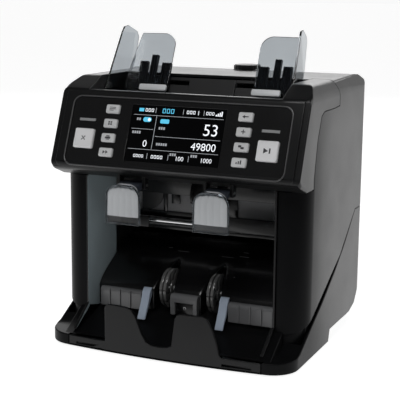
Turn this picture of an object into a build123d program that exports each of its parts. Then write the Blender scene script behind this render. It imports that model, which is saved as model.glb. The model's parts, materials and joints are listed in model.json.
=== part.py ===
from build123d import *
import os
from math import cos, pi, radians, sin

# Desk-top two-pocket banknote counter. Millimetres, +X to the right, +Y to the back, +Z up.
# The origin is on the table under the middle of the machine.

os.makedirs("parts", exist_ok=True)

# ---- driving dimensions ------------------------------------------------------------------------
HALF_W = 126.0            # half the overall width
FRONT_Y = -119.0          # foremost point of the bowed front lip
REAR_Y = 119.0            # rear wall
TOP_Z = 257.0             # flat top of the housing
WALL = 3.0                # moulded wall thickness
CORNER_R = 22.0           # vertical corners of the housing
LIP_Z = 12.0              # height of the front lip
FLOOR_Z = 27.0            # floor of the stacker pocket
FOOT_Z = 1.5              # the base stands this far off the table on its feet
PILLAR_Y = -77.0          # front face of the two pillars
POCKET_HALF = 96.4        # half the clear width of the note pockets
HEAD_Z = 163.0            # underside of the head
TOP_EDGE_Z = 246.0        # where the side walls turn into the top chamfer
TOP_HALF = 118.0          # half width of the flat top
GROOVE_END = (80.6, 120.3)  # rear end of the swoosh groove, as (y, z)
HOPPER_HALF = 98.0        # half width of the hopper
HOPPER_REAR_Y = 5.0       # front edge of the rear top cover
RIDGE_Z = 245.0           # console ridge in front of the hopper
PLATE_X = 100.0           # inner face of the chassis side plates
PLATE_T = 2.0
SHAFT_R = 3.0             # drive shafts
BEARING_R = 3.05          # bore of the shaft bearings
BEARING_OD_R = 6.5
FRONT_FEET = [(-100, -98), (100, -98)]   # centres of the two round feet
FIT_GAP = 0.3             # gap between moving neighbours

# ---- console: a panel leaning back, drawn about the centre of the display ------------------------
PANEL_TILT = 22.0
PANEL_CENTRE = (0.0, -87.0, 208.5)
PANEL_T = 3.0
KEY_COLUMN_X = 67.3
KEY_PITCH = 14.06
SMALL_KEY = (14.2, 8.6)
BIG_KEY_X = 92.7
BIG_KEY = (20.0, 19.0)
BIG_KEY_V = -9.0
LIGHT_V = 9.6
LIGHT_BAR = (17.0, 2.5)
SCREEN = (95.0, 53.9)
BOARD_DEPTH = 7.0         # depth of the key board below the panel face

# ---- reject flaps --------------------------------------------------------------------------------
FLAP_X = 44.5             # middle of each flap, left and right
FLAP_PIN = (-84.0, 159.0)  # pivot as (y, z)
FLAP_PIN_R = 1.5
FLAP_EARS = [side * FLAP_X + off for side in (-1, 1) for off in (-13, 13)]

tilt = radians(PANEL_TILT)
panel_plane = Plane(origin=PANEL_CENTRE, x_dir=(1, 0, 0), z_dir=(0, -cos(tilt), sin(tilt)))

# ---- hopper: everything that guides the notes leans back by this angle ---------------------------
LEAN = 24.0
lean = radians(LEAN)
GUIDE_ORIGIN = (0.0, -6.0, 248.0)
guide_plane = Plane(origin=GUIDE_ORIGIN, x_dir=(1, 0, 0), z_dir=(0, -cos(lean), sin(lean)))
BACK_DEPTH = 6.5          # hopper back plate, behind the clear wings of the guides
BACK_T = 3.0
WING_IN_X = 45.5
WING_OUT_X = 84.0
SLOT_V = 3.3              # height of the guide slots in the leaning plane
SLOT_H = 4.4
PINION_V = -3.6
PINION_MODULE = 1.5
PINION_TEETH = 12
RACK_DEPTH = 10.5
RACK_T = 4.0

# ---- note path ---------------------------------------------------------------------------------
PICKUP = (-38.0, 205.0)   # shaft centres as (y, z)
FEED = (-16.0, 184.0)
SEPARATION = (10.5, 192.0)
TRANSPORT = (36.0, 122.0)
REJECT = (-10.0, 109.0)
STACKER = (-40.0, 49.0)
MOTOR = (78.0, 95.0)
GATE = (22.0, 103.0)
PICKUP_R = 12.0
FEED_R = 14.0
SEPARATION_R = 13.0
TRANSPORT_R = 14.0
REJECT_R = 8.0
REJECT_W = 8.0
REJECT_PLACES = (-80, 0, 80)   # clear of the two stretches of bare shaft between the flaps
STACKER_R = 21.0
STACKER_HUB_R = 9.0
PULLEY_R = 14.0
ROLLER_X = 32.0           # the rollers stand in pairs at this distance from the middle
ROLLER_W = 14.0
STACKER_X = 25.0
STACKER_W = 8.0
BELT_X = (107.0, 112.0)   # the toothed belt runs in this layer beside the right chassis plate
REAR_HINGE = (114.0, 126.0)
COVER_FRONT_Y = -57.7     # front edge of the stacker cover, where the lips and the nose start


def name_and_save(builder, label):
    """Label a finished piece and write it to its own STEP file."""
    builder.part.label = label
    export_step(builder.part, f"parts/{label}.step")


def polygon(*points):
    """Closed straight-sided outline in the current sketch."""
    Polygon(*points, align=None)


def sketch_corner(u, v):
    """The corner of the current sketch that lies nearest to (u, v)."""
    corners = BuildSketch._get_context().vertices()
    return corners.sort_by_distance((u, v, 0))[0]


def side_plane(x):
    """Sketch plane facing +X at x, where sketch axes are world Y and Z."""
    return Plane(origin=(x, 0, 0), x_dir=(0, 1, 0), z_dir=(1, 0, 0))


def keep_profile(*points):
    """Keep only what lies inside an outline in world Y and Z, over the whole width."""
    with BuildSketch(side_plane(-140)) as profile:
        polygon(*points)
    extrude(profile.sketch, amount=280, mode=Mode.INTERSECT)


def rod(x_from, x_to, centre, radius, mode=Mode.ADD):
    """Round bar along X, centred on (y, z)."""
    with BuildSketch(side_plane(x_from)) as section:
        with Locations(centre):
            Circle(radius)
    extrude(section.sketch, amount=x_to - x_from, mode=mode)


def block(x, y, z, mode=Mode.ADD):
    """Rectangular block between pairs of coordinates."""
    centre = ((x[0] + x[1]) / 2, (y[0] + y[1]) / 2, (z[0] + z[1]) / 2)
    with Locations(centre):
        Box(abs(x[1] - x[0]), abs(y[1] - y[0]), abs(z[1] - z[0]), mode=mode)


def floor_outline(inset):
    """Plan outline of the machine: bowed front, rounded corners, moved inward by inset."""
    side = HALF_W - inset
    rear = REAR_Y - inset
    with BuildLine() as outline:
        ThreePointArc((-100, -114 + inset), (0, FRONT_Y + inset), (100, -114 + inset))
        TangentArc((side, -88), (100, -114 + inset), tangent=(0, -1))
        Line((side, -88), (side, rear - CORNER_R))
        TangentArc((side, rear - CORNER_R), (side - CORNER_R, rear), tangent=(0, 1))
        Line((side - CORNER_R, rear), (-side + CORNER_R, rear))
        TangentArc((-side + CORNER_R, rear), (-side, rear - CORNER_R), tangent=(-1, 0))
        Line((-side, rear - CORNER_R), (-side, -88))
        TangentArc((-side, -88), (-100, -114 + inset), tangent=(0, -1))
    make_face(outline.edges())


# ---- base tray: floor, apron and the two side arms that sweep up to the rear ---------------------
# Underside: flat at the front, a hand-hold from the middle back, and a rising rear corner.
UNDERSIDE = [(2, FOOT_Z), (6, 13), (72, 13), (90, 18), (104, 34), (REAR_Y + 1, 42)]
PLATE_Y = -111.5          # back of the front stop plate
ARM_TOP = [(44, 89), (16.6, 69.8), (-21.5, 47.8), (-55, 31.4), (-84, 16), (-93, 13.5)]
with BuildPart() as tub_inside:
    with BuildSketch():
        floor_outline(WALL)
    extrude(amount=GROOVE_END[1] + 1)
    keep_profile((-74, FOOT_Z + WALL), (0, FOOT_Z + WALL), (4, 16), (70, 16), (88, 21), (101, 37), (REAR_Y, 45),
                 (REAR_Y, GROOVE_END[1] + 1), (-74, GROOVE_END[1] + 1))

# plinth under the right pillar, set back behind the side groove
with BuildPart() as plinth:
    with BuildSketch(Plane.XY.offset(14)) as plinth_plan:
        polygon((98.6, -75.5), (121, -75.5), (121, -52), (98.6, -52))
        fillet(plinth_plan.vertices().sort_by_distance((121, -75.5, 0))[0], 17)
    extrude(amount=30)
    keep_profile((-76, 10), (-76, 28.7), (-51, 40.8), (-51, 10))

with BuildPart() as base_tray:
    with BuildSketch():
        floor_outline(0)
    extrude(amount=GROOVE_END[1])
    keep_profile((FRONT_Y - 1, FOOT_Z), *UNDERSIDE, (REAR_Y + 1, GROOVE_END[1]), GROOVE_END, *ARM_TOP,
                 (FRONT_Y - 1, LIP_Z))
    add(tub_inside.part, mode=Mode.SUBTRACT)
    # apron ramp and pocket floor
    with BuildSketch(side_plane(-POCKET_HALF)):
        polygon((-112, LIP_Z - 1), (-74, 21.5), (-58, FLOOR_Z), (-14, FLOOR_Z), (-14, FLOOR_Z - WALL),
                (-74, FLOOR_Z - 4 * WALL), (-74, LIP_Z - 2))
    extrude(amount=2 * POCKET_HALF)
    # steeper ramps at the foot of each pillar
    for side in (-1, 1):
        with BuildSketch(side_plane(side * (POCKET_HALF + 4.8) - 4.8)):
            polygon((-112, LIP_Z - 1), (PILLAR_Y - 0.4, 31.6), (PILLAR_Y - 0.4, LIP_Z - 1))
        extrude(amount=9.6)
    # hollow under the apron, stiffened by ribs
    with BuildSketch(side_plane(-88)):
        polygon((-109, -1), (-109, 8), (-80, 15), (-80, -1))
    extrude(amount=176, mode=Mode.SUBTRACT)
    for x in (-45, 0, 45):
        with BuildSketch(side_plane(x - 1.5)):
            polygon((-110, 3), (-110, 9), (-79, 16), (-79, 3))
        extrude(amount=3)
    # seat of the front stop plate
    block((-99, 99), (FRONT_Y - 1, PLATE_Y + 0.2), (3, LIP_Z + 1), Mode.SUBTRACT)
    # rear wall opens for the rear frame
    block((-100, 100), (REAR_Y - WALL - 1, REAR_Y + 1), (60, 130), Mode.SUBTRACT)
    # inner flanges that close the side grooves
    for side in (-1, 1):
        with BuildSketch(side_plane(side * 121 - 1.5)):
            polygon((-60, 14), (-60, 38), (-48, 46), (0.5, 71), (30, 86), (62, 110), (72, 110),
                    (40, 84), (4, 60), (4, 14))
        extrude(amount=3)
    add(plinth.part)
    add(mirror(plinth.part, about=Plane.YZ))
    # rear legs
    for side in (-1, 1):
        block((side * 92, side * 116), (90, 108), (5, 36))
    # round seats for the front feet
    with BuildSketch():
        with Locations(*FRONT_FEET):
            Circle(8)
    extrude(amount=3, mode=Mode.SUBTRACT)
name_and_save(base_tray, "base_tray")

# ---- front stop plate: three fingers that hold the stacked notes -------------------------------
with BuildPart() as front_stop_plate:
    with BuildSketch(Plane(origin=(0, PLATE_Y, 0), x_dir=(1, 0, 0), z_dir=(0, -1, 0))):
        polygon((-98.6, 3.3), (98.6, 3.3), (98.6, LIP_Z), (61.5, 12.5), (59.5, 14.8), (57.2, 25),
                (53.7, 35), (50.3, 43), (47.5, 47.3), (42.6, 49.2), (21.5, 49), (18.2, 48.1),
                (15.4, 43.5), (12.7, 19.7), (12.2, 17.5), (8.2, 15.7), (-1, 14.7), (-10, 15.3),
                (-13.6, 17.5), (-18.3, 25), (-25.2, 41.3), (-28.7, 45.7), (-34.4, 48.2),
                (-45, 49), (-54.4, 48.8), (-58, 45.6), (-58, 12), (-98.6, LIP_Z))
    extrude(amount=FRONT_Y * -1 + PLATE_Y)
    # the face follows the bow of the front lip
    with BuildSketch():
        floor_outline(0)
    extrude(amount=60, mode=Mode.INTERSECT)
    for side in (-1, 1):
        block((side * 62, side * 90), (FRONT_Y - 1, PLATE_Y - 2), (4.8, 6.6), Mode.SUBTRACT)
    # the fingers are thinner than the foot of the plate
    block((-100, 100), (-115.2, PLATE_Y + 1), (LIP_Z + 1, 60), Mode.SUBTRACT)
name_and_save(front_stop_plate, "front_stop_plate")

# ---- side covers: pillar, side wall and the rear corner as one moulding --------------------------
SIDE_LOW = [(PILLAR_Y - 1, 28.2), (-48, 42.7), (0.5, 67), (32, 82.5), (GROOVE_END[0], 120.6)]
SIDE_SEAM = [(14.8, TOP_Z + 1), (14.8, 232.7), (-1.5, 231.7), (-32.5, 231.7), (-40.8, 228.4),
             (-50.7, 208), (-54.7, 190), (-58.7, 172.5), (-58.7, HEAD_Z - 0.3),
             (PILLAR_Y - 1, HEAD_Z - 0.3)]


def side_section(inset, top_half, top_z):
    """Box section of the right side between pillar face and rear, moved inward by inset."""
    inner = POCKET_HALF + 2 + inset
    outer = HALF_W - inset
    front = PILLAR_Y + inset
    rear = REAR_Y - inset
    with BuildSketch() as plan:
        polygon((inner, front), (outer, front), (outer, rear), (inner, rear))
        fillet(plan.vertices().filter_by_position(Axis.X, outer - 1, outer + 1), CORNER_R - inset)
    extrude(plan.sketch, amount=TOP_Z + 1)
    with BuildSketch(Plane(origin=(0, REAR_Y + 1, 0), x_dir=(1, 0, 0), z_dir=(0, -1, 0))) as front_view:
        polygon((inner - 1, 0), (outer, 0), (outer, TOP_EDGE_Z - inset * 0.4),
                (top_half, top_z), (inner - 1, top_z))
    extrude(front_view.sketch, amount=260, mode=Mode.INTERSECT)


with BuildPart() as side_inside:
    side_section(WALL, TOP_HALF - 1.4, TOP_Z - WALL)

with BuildPart() as side_cover_right:
    side_section(0, TOP_HALF, TOP_Z)
    with BuildSketch(side_plane(80)):
        polygon(*SIDE_LOW, (REAR_Y, 120.6), (REAR_Y, TOP_Z + 1), *SIDE_SEAM)
        fillet(sketch_corner(REAR_Y, TOP_Z + 1), 30)
    extrude(amount=60, mode=Mode.INTERSECT)
    add(side_inside.part, mode=Mode.SUBTRACT)
    # open towards the chassis behind the pillar, and under the rear top cover
    block((90, 102), (-50, REAR_Y + 1), (0, TOP_Z + 2), Mode.SUBTRACT)
    block((90, 104), (90, REAR_Y + 1), (0, TOP_Z + 2), Mode.SUBTRACT)
    block((90, TOP_HALF), (14, REAR_Y + 1), (225, TOP_Z + 2), Mode.SUBTRACT)
name_and_save(side_cover_right, "side_cover_right")

with BuildPart() as side_cover_left:
    add(mirror(side_cover_right.part, about=Plane.YZ))
name_and_save(side_cover_left, "side_cover_left")

# ---- head cover: the console housing and both shoulders beside the hopper -----------------------
HEAD_SEAM = [(14.5, TOP_Z), (14.5, 233), (-1.5, 232), (-32.5, 232), (-41, 228.6), (-51, 208),
             (-55, 190), (-59, 172.5), (-59, HEAD_Z)]
with BuildPart() as head_inside:
    with BuildSketch(side_plane(WALL - HALF_W)):
        polygon((-60, 166.2), (-76.5, 166.2), (-92.5, 173.6), (-95.6, 179), (-69.6, 243),
                (-45.3, 253.8), (60, 253.8), (60, 166.2))
    extrude(amount=2 * (HALF_W - WALL))
    with BuildSketch(Plane(origin=(0, 61, 0), x_dir=(1, 0, 0), z_dir=(0, -1, 0))):
        polygon((-123, 160), (-123, 244.8), (-116.6, 253.8), (116.6, 253.8), (123, 244.8), (123, 160))
    extrude(amount=170, mode=Mode.INTERSECT)

with BuildPart() as head_cover:
    with BuildSketch(side_plane(-HALF_W)) as head_profile:
        polygon((-77, HEAD_Z), (-95.5, 170.3), (-100.2, 176), (-72, RIDGE_Z), (-46, TOP_Z), *HEAD_SEAM)
        fillet(head_profile.vertices().filter_by_position(Axis.Y, -90, -70), 4)
    extrude(amount=2 * HALF_W)
    # facets between the panel face and the side walls
    with BuildSketch(Plane(origin=(0, 61, 0), x_dir=(1, 0, 0), z_dir=(0, -1, 0))):
        polygon((-HALF_W, 160), (-HALF_W, TOP_EDGE_Z), (-TOP_HALF, TOP_Z), (TOP_HALF, TOP_Z),
                (HALF_W, TOP_EDGE_Z), (HALF_W, 160))
    extrude(amount=170, mode=Mode.INTERSECT)
    for side in (-1, 1):
        with BuildSketch(Plane(origin=PANEL_CENTRE, x_dir=(1, 0, 0), z_dir=(0, sin(tilt), cos(tilt)))):
            polygon((side * 120.4, 1), (side * HALF_W, -16.5), (side * 140, -16.5), (side * 140, 1))
        extrude(amount=60, both=True, mode=Mode.SUBTRACT)
    add(head_inside.part, mode=Mode.SUBTRACT)
    # hopper mouth between the shoulders
    block((-HOPPER_HALF, HOPPER_HALF), (-80, 20), (RIDGE_Z, TOP_Z + 1), Mode.SUBTRACT)
    block((-HOPPER_HALF, HOPPER_HALF), (-64, 20), (HEAD_Z + 4, TOP_Z + 1), Mode.SUBTRACT)
    # inner walls of the shoulders
    for side in (-1, 1):
        with BuildSketch(side_plane(side * HOPPER_HALF + (0 if side > 0 else -2))):
            polygon((-67, 236), (-65, 247), (-46, TOP_Z - 1), (14.5, TOP_Z - 1), (14.5, 218), (-50, 218))
        extrude(amount=2)
    # window for the console panel
    with BuildSketch(panel_plane):
        with Locations((0, -1.1)):
            RectangleRounded(220.6, 66.6, 8)
    extrude(amount=6, both=True, mode=Mode.SUBTRACT)
    # ears that hold the flap pins
    for ear_x in FLAP_EARS:
        with BuildSketch(side_plane(ear_x - 1.5)):
            polygon((-88, 155), (-80, 155), (-79, 164), (-88, 168))
            with Locations(FLAP_PIN):
                Circle(FLAP_PIN_R, mode=Mode.SUBTRACT)
        extrude(amount=3)
name_and_save(head_cover, "head_cover")

# ---- console: glossy panel, display, lights, boards and ten keys ---------------------------------
SMALL_ROWS = [KEY_PITCH * (1.5 - row) for row in range(4)]
KEYS = {}
for side, word in ((-1, "left"), (1, "right")):
    for row, height in enumerate(SMALL_ROWS):
        KEYS[f"key_{word}_{row + 1}"] = (side * KEY_COLUMN_X, height, SMALL_KEY, 2.2)
KEYS["key_cancel"] = (-BIG_KEY_X, BIG_KEY_V, BIG_KEY, 3.0)
KEYS["key_start"] = (BIG_KEY_X, BIG_KEY_V, BIG_KEY, 3.0)

with BuildPart() as console_panel:
    with BuildSketch(panel_plane):
        with Locations((0, -1.1)):
            RectangleRounded(220, 66, 7.7)
    extrude(amount=-PANEL_T)
    with BuildSketch(panel_plane):
        Rectangle(SCREEN[0] + 0.4, SCREEN[1] + 0.4)
        for u, v, (width, height), rise in KEYS.values():
            with Locations((u, v)):
                RectangleRounded(width + 2 * FIT_GAP, height + 2 * FIT_GAP, 1.2)
        with Locations((-BIG_KEY_X, LIGHT_V), (BIG_KEY_X, LIGHT_V)):
            Rectangle(LIGHT_BAR[0], LIGHT_BAR[1])
    extrude(amount=-PANEL_T, mode=Mode.SUBTRACT)
name_and_save(console_panel, "console_panel")

with BuildPart() as display_module:
    with BuildSketch(panel_plane.offset(-0.6)):
        Rectangle(*SCREEN)
    extrude(amount=-(PANEL_T - 0.6))
    with BuildSketch(panel_plane.offset(-PANEL_T)):
        Rectangle(SCREEN[0] + 10, SCREEN[1] + 8)
    extrude(amount=-4)
name_and_save(display_module, "display_module")

with BuildPart() as status_lights:
    with BuildSketch(panel_plane.offset(0.4)):
        with Locations((-BIG_KEY_X, LIGHT_V), (BIG_KEY_X, LIGHT_V)):
            Rectangle(LIGHT_BAR[0], LIGHT_BAR[1])
    extrude(amount=-(PANEL_T + 0.4))
    with BuildSketch(panel_plane.offset(-PANEL_T)):
        with Locations((-BIG_KEY_X, LIGHT_V), (BIG_KEY_X, LIGHT_V)):
            Rectangle(LIGHT_BAR[0] - 4, LIGHT_BAR[1] + 1)
    extrude(amount=PANEL_T - BOARD_DEPTH)
name_and_save(status_lights, "status_lights")

with BuildPart() as keypad_boards:
    with BuildSketch(panel_plane.offset(-BOARD_DEPTH)):
        with Locations((-81, 0), (81, 0)):
            Rectangle(46, 60)
    extrude(amount=-1.6)
name_and_save(keypad_boards, "keypad_boards")

for key_name, (u, v, (width, height), rise) in KEYS.items():
    with BuildPart() as key:
        with BuildSketch(panel_plane.offset(-4.6)):
            with Locations((u, v)):
                RectangleRounded(width, height, 1.5)
        extrude(amount=4.6 + rise)
        crown = key.faces().sort_by(Axis(PANEL_CENTRE, panel_plane.z_dir))[-1]
        chamfer(crown.edges(), 0.9)
        # retaining flange behind the panel
        with BuildSketch(panel_plane.offset(-5.4)):
            with Locations((u, v)):
                Rectangle(width + 2.4, height + 2.4)
        extrude(amount=1.3)
    name_and_save(key, key_name)

# ---- rear top cover: flat lid that rounds down into the back -------------------------------------
with BuildPart() as top_inside:
    with BuildSketch(side_plane(WALL - TOP_HALF)) as top_profile:
        polygon((-10, TOP_Z - WALL), (REAR_Y - WALL, TOP_Z - WALL), (REAR_Y - WALL, 190), (-10, 190))
        fillet(top_profile.vertices().filter_by_position(Axis.X, 110, 120)
               .filter_by_position(Axis.Y, 240, 260), 27)
    extrude(amount=2 * (TOP_HALF - WALL))
    with BuildSketch():
        floor_outline(WALL)
    extrude(amount=TOP_Z + 1, mode=Mode.INTERSECT)

with BuildPart() as top_cover:
    with BuildSketch(side_plane(-TOP_HALF)) as top_profile:
        polygon((HOPPER_REAR_Y, TOP_Z), (REAR_Y, TOP_Z), (REAR_Y, 214), (HOPPER_REAR_Y, 214))
        fillet(top_profile.vertices().filter_by_position(Axis.X, 110, 120)
               .filter_by_position(Axis.Y, 240, 260), 30)
    extrude(amount=2 * TOP_HALF)
    with BuildSketch():
        floor_outline(0)
    extrude(amount=TOP_Z + 1, mode=Mode.INTERSECT)
    add(top_inside.part, mode=Mode.SUBTRACT)
    # clear of the shoulders, the side walls and the space above the rear door
    for side in (-1, 1):
        block((side * (HOPPER_HALF - 0.2), side * 120), (0, 15), (200, 260), Mode.SUBTRACT)
        block((side * 103.8, side * 120), (0, REAR_Y + 1), (200, 225.2), Mode.SUBTRACT)
    block((-TOP_HALF, TOP_HALF), (0, 90), (200, 250), Mode.SUBTRACT)
    # opening for the thickness knob
    with Locations((0, 94, TOP_Z)):
        Hole(7, 20)
name_and_save(top_cover, "top_cover")

# ---- hopper: leaning back plate with guide slots and rack pin, sloped floor ----------------------
with BuildPart() as hopper_back_plate:
    with BuildSketch(guide_plane.offset(-BACK_DEPTH)):
        with Locations((0, -17.5)):
            Rectangle(2 * HOPPER_HALF - 1, 53)
    extrude(amount=-BACK_T)
    # raised centre pad between the two guide tracks
    with BuildSketch(guide_plane.offset(-BACK_DEPTH)):
        with Locations((0, -14)):
            Rectangle(49, 44)
    extrude(amount=2.5)
    with BuildSketch(guide_plane.offset(-BACK_DEPTH)):
        for side in (-1, 1):
            with Locations((side * 58, SLOT_V)):
                Rectangle(66, SLOT_H)
    extrude(amount=-BACK_T, mode=Mode.SUBTRACT)
    # pivot pin of the guide pinion
    with BuildSketch(guide_plane.offset(-BACK_DEPTH - BACK_T)):
        with Locations((0, PINION_V)):
            Circle(SHAFT_R)
    extrude(amount=-6.6)
name_and_save(hopper_back_plate, "hopper_back_plate")

FLOOR_LINE = [(-63.5, 238), (-60, 235), (-24, 205), (-19, 204)]
with BuildPart() as hopper_floor:
    with BuildSketch(side_plane(-HOPPER_HALF + 0.5)):
        polygon(*FLOOR_LINE, (-19, 201.4), (-25, 202.4), (-62, 233), (-63.5, 234))
    extrude(amount=2 * HOPPER_HALF - 1)
    for side in (-1, 1):
        block((side * (ROLLER_X - 9), side * (ROLLER_X + 9)), (-56, -19.5), (198, 235), Mode.SUBTRACT)
name_and_save(hopper_floor, "hopper_floor")


def gear_outline(teeth, module):
    """Plain straight-sided spur gear with generous backlash, centred on the sketch origin."""
    pitch_r = teeth * module / 2
    root_r = pitch_r - 1.15 * module
    tip_r = pitch_r + 0.8 * module
    Circle(root_r)
    with PolarLocations(0, teeth):
        polygon((root_r - 0.6, -0.85 * module), (tip_r, -0.34 * module), (tip_r, 0.34 * module),
                (root_r - 0.6, 0.85 * module))


with BuildPart() as guide_pinion:
    with BuildSketch(guide_plane.offset(-RACK_DEPTH)):
        with Locations((0, PINION_V)):
            gear_outline(PINION_TEETH, PINION_MODULE)
            Circle(BEARING_R, mode=Mode.SUBTRACT)
    extrude(amount=-RACK_T)
name_and_save(guide_pinion, "guide_pinion")

# The left guide drives the rack above the pinion, the right guide the one below it.
PITCH_R = PINION_TEETH * PINION_MODULE / 2
RACK_PITCH = pi * PINION_MODULE
FINGERS = [(76.5, 9, 23), (65.6, 7, 30), (52, 10, 22)]   # centre, width, top in the leaning plane


def guide_comb(side):
    """Dark carriage behind the clear guide: ribbed fingers, an arm through the slot and a rack."""
    with BuildPart() as comb:
        with BuildSketch(guide_plane.offset(-2.1)):
            with Locations((side * 64, 1.5)):
                Rectangle(34, 13)
            for centre, width, top in FINGERS:
                with Locations((side * centre, top / 2)):
                    Rectangle(width, top)
        extrude(amount=2.1 - BACK_DEPTH + 0.5)
        # vertical grooves between the ribs of the fingers
        with BuildSketch(guide_plane.offset(-2.1)):
            for rib in range(12):
                with Locations((side * (48.9 + rib * 2.7), 16)):
                    Rectangle(0.9, 36)
        extrude(amount=-1.2, mode=Mode.SUBTRACT)
        # arm through the slot, riser and rack behind the back plate
        with BuildSketch(guide_plane.offset(0.5 - BACK_DEPTH)):
            with Locations((side * 53, SLOT_V)):
                Rectangle(6, SLOT_H - 1)
        extrude(amount=BACK_DEPTH - 0.5 - RACK_DEPTH - RACK_T)
        with BuildSketch(guide_plane.offset(-RACK_DEPTH)):
            rack_v = PINION_V - side * (PITCH_R + 1.15 * PINION_MODULE)
            low = min(rack_v, SLOT_V - 1.7, rack_v - side * 3)
            high = max(rack_v, SLOT_V + 1.7, rack_v - side * 3)
            with Locations((side * 53, (low + high) / 2)):
                Rectangle(6, high - low)
            with Locations((side * 24.5, rack_v - side * 1.5)):
                Rectangle(63, 3)
            for tooth in range(7):
                with Locations((side * (RACK_PITCH * (tooth + 0.5) - 4.8), rack_v)):
                    polygon((-1.28, -side * 0.3), (-0.51, side * 2.9), (0.51, side * 2.9),
                            (1.28, -side * 0.3))
        extrude(amount=-RACK_T)
    return comb


def note_guide(side):
    """Clear L-shaped guide: a wing in the leaning plane and a splayed side plate."""
    with BuildPart() as guide:
        with BuildSketch(guide_plane) as wing:
            polygon((side * WING_IN_X, -6), (side * WING_IN_X, 52.5), (side * (WING_OUT_X - 1), 52.5),
                    (side * WING_OUT_X, 51), (side * 91.8, 11), (side * 92.8, -6))
            fillet(wing.vertices().sort_by_distance((side * WING_IN_X, 52.5, 0))[0], 13)
        extrude(amount=-2)
        # curled foot that carries the last notes
        with BuildSketch(guide_plane):
            with Locations((side * 60, -6)):
                Rectangle(29, 6)
        extrude(amount=3.5)
        splay = radians(6.5)
        plate_plane = Plane(origin=(side * 89.6, 10, 0), x_dir=(-side * sin(splay), cos(splay), 0),
                            z_dir=(cos(splay), side * sin(splay), 0))
        with BuildSketch(plate_plane) as plate:
            polygon((-56, 238), (-22.8, 297), (-18.5, 302.6), (-12, 304), (4, 297.5), (7.3, 292),
                    (0.5, 268), (-6.5, 256), (-15, 238), (-18, 232), (-50, 232))
        extrude(amount=side * 2)
    return guide


for side, word in ((-1, "left"), (1, "right")):
    name_and_save(note_guide(side), f"note_guide_{word}")
    name_and_save(guide_comb(side), f"guide_comb_{word}")

# ---- thickness knob at the rear of the lid -------------------------------------------------------
KNOB_Y = 94.0
with BuildPart() as thickness_knob:
    with BuildSketch(Plane.XY.offset(TOP_Z + 0.4)):
        with Locations((0, KNOB_Y)):
            Circle(14.5)
    extrude(amount=4.6)
    chamfer(thickness_knob.faces().sort_by(Axis.Z)[-1].edges(), 1.2)
    with BuildSketch(Plane.XY.offset(TOP_Z)):
        with Locations((0, KNOB_Y)):
            with PolarLocations(15.2, 18):
                Circle(1.2)
    extrude(amount=9, mode=Mode.SUBTRACT)
    with BuildSketch(Plane.XY.offset(TOP_Z + 0.4)):
        with Locations((0, KNOB_Y)):
            Circle(5)
    extrude(amount=-22)
name_and_save(thickness_knob, "thickness_knob")

# ---- reject flaps: frosted leaves that hang from the head on their own pins ----------------------
for side, word in ((-1, "left"), (1, "right")):
    with BuildPart() as flap:
        with BuildSketch(Plane(origin=(0, -103, 0), x_dir=(1, 0, 0), z_dir=(0, -1, 0))):
            with BuildLine():
                x_in = side * FLAP_X - 17.5
                x_out = side * FLAP_X + 17.5
                Line((x_in, 124), (x_in, 153))
                Spline((x_in, 153), (x_in + 6, 160.4), (side * FLAP_X, 162), (x_out - 6, 160.4),
                       (x_out, 153), tangents=((0, 1), (0, -1)))
                Line((x_out, 153), (x_out, 124))
                Line((x_out, 124), (x_in, 124))
            make_face()
        extrude(amount=3.6)
        # arm back to the barrel on the pin
        with BuildSketch(side_plane(side * FLAP_X - 11)):
            polygon((-103.5, 148), (-103.5, 158), (-86, 161.5), (-83, 156.5))
            with Locations(FLAP_PIN):
                Circle(3.6)
                Circle(FLAP_PIN_R + 0.05, mode=Mode.SUBTRACT)
        extrude(amount=22)
    name_and_save(flap, f"reject_flap_{word}")

with BuildPart() as flap_pins:
    for side in (-1, 1):
        rod(side * FLAP_X - 15, side * FLAP_X + 15, FLAP_PIN, FLAP_PIN_R)
name_and_save(flap_pins, "flap_pins")

# ---- stacker cover: the glossy slope between the two pockets --------------------------------------
COVER_TOP = [(17, 89), (2, 84), (-23, 72.5), (-44, 61), (-56, 51.5)]
with BuildPart() as stacker_cover:
    with BuildSketch(side_plane(-95.8)):
        polygon(*COVER_TOP, (-57.5, 48), (-57.5, 30), (-54.5, 30), (-54.5, 49), (-42.5, 58.2),
                (-21.8, 69.6), (3, 81), (18, 86))
    extrude(amount=191.6)
    with BuildSketch(Plane.XY.offset(20)):
        for side in (-1, 1):
            polygon((side * 15, -70), (side * 15.6, -50), (side * 20.4, -30), (side * 25, -22),
                    (side * 29.6, -30), (side * 34.4, -50), (side * 35, -70))
    extrude(amount=80, mode=Mode.SUBTRACT)
    # cheeks that close the sides of the wheel slots
    for cheek_x in (-36.5, -15, 13.5, 35):
        with BuildSketch(side_plane(cheek_x)):
            polygon((-57.5, 30), (-57.5, 48), (-56, 51), (-48, 56.5), (-48, 30))
        extrude(amount=1.5)
name_and_save(stacker_cover, "stacker_cover")

with BuildPart() as tray_lips:
    for side in (-1, 1):
        with BuildSketch(side_plane(side * 68.5 - 22.5)) as lip_profile:
            polygon((COVER_FRONT_Y, 29.5), (COVER_FRONT_Y, 48.5), (-64, 48.5), (-64, 29.5))
            fillet(lip_profile.vertices().sort_by_distance((-64, 48.5, 0))[0], 4)
        extrude(amount=45)
        for groove in range(3):
            block((side * (57 + 11.4 * groove), side * (58 + 11.4 * groove)), (-65, -62.5), (29, 50),
                  Mode.SUBTRACT)
name_and_save(tray_lips, "tray_lips")

with BuildPart() as nose_sensor:
    with BuildSketch(side_plane(-14)) as nose_profile:
        polygon((COVER_FRONT_Y, 29.5), (COVER_FRONT_Y, 50), (-65, 50), (-65, 29.5))
        fillet(nose_profile.vertices().sort_by_distance((-65, 50, 0))[0], 4)
    extrude(amount=28)
    block((-9.3, 9.3), (-66, -62), (28, 42), Mode.SUBTRACT)
name_and_save(nose_sensor, "nose_sensor")

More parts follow.
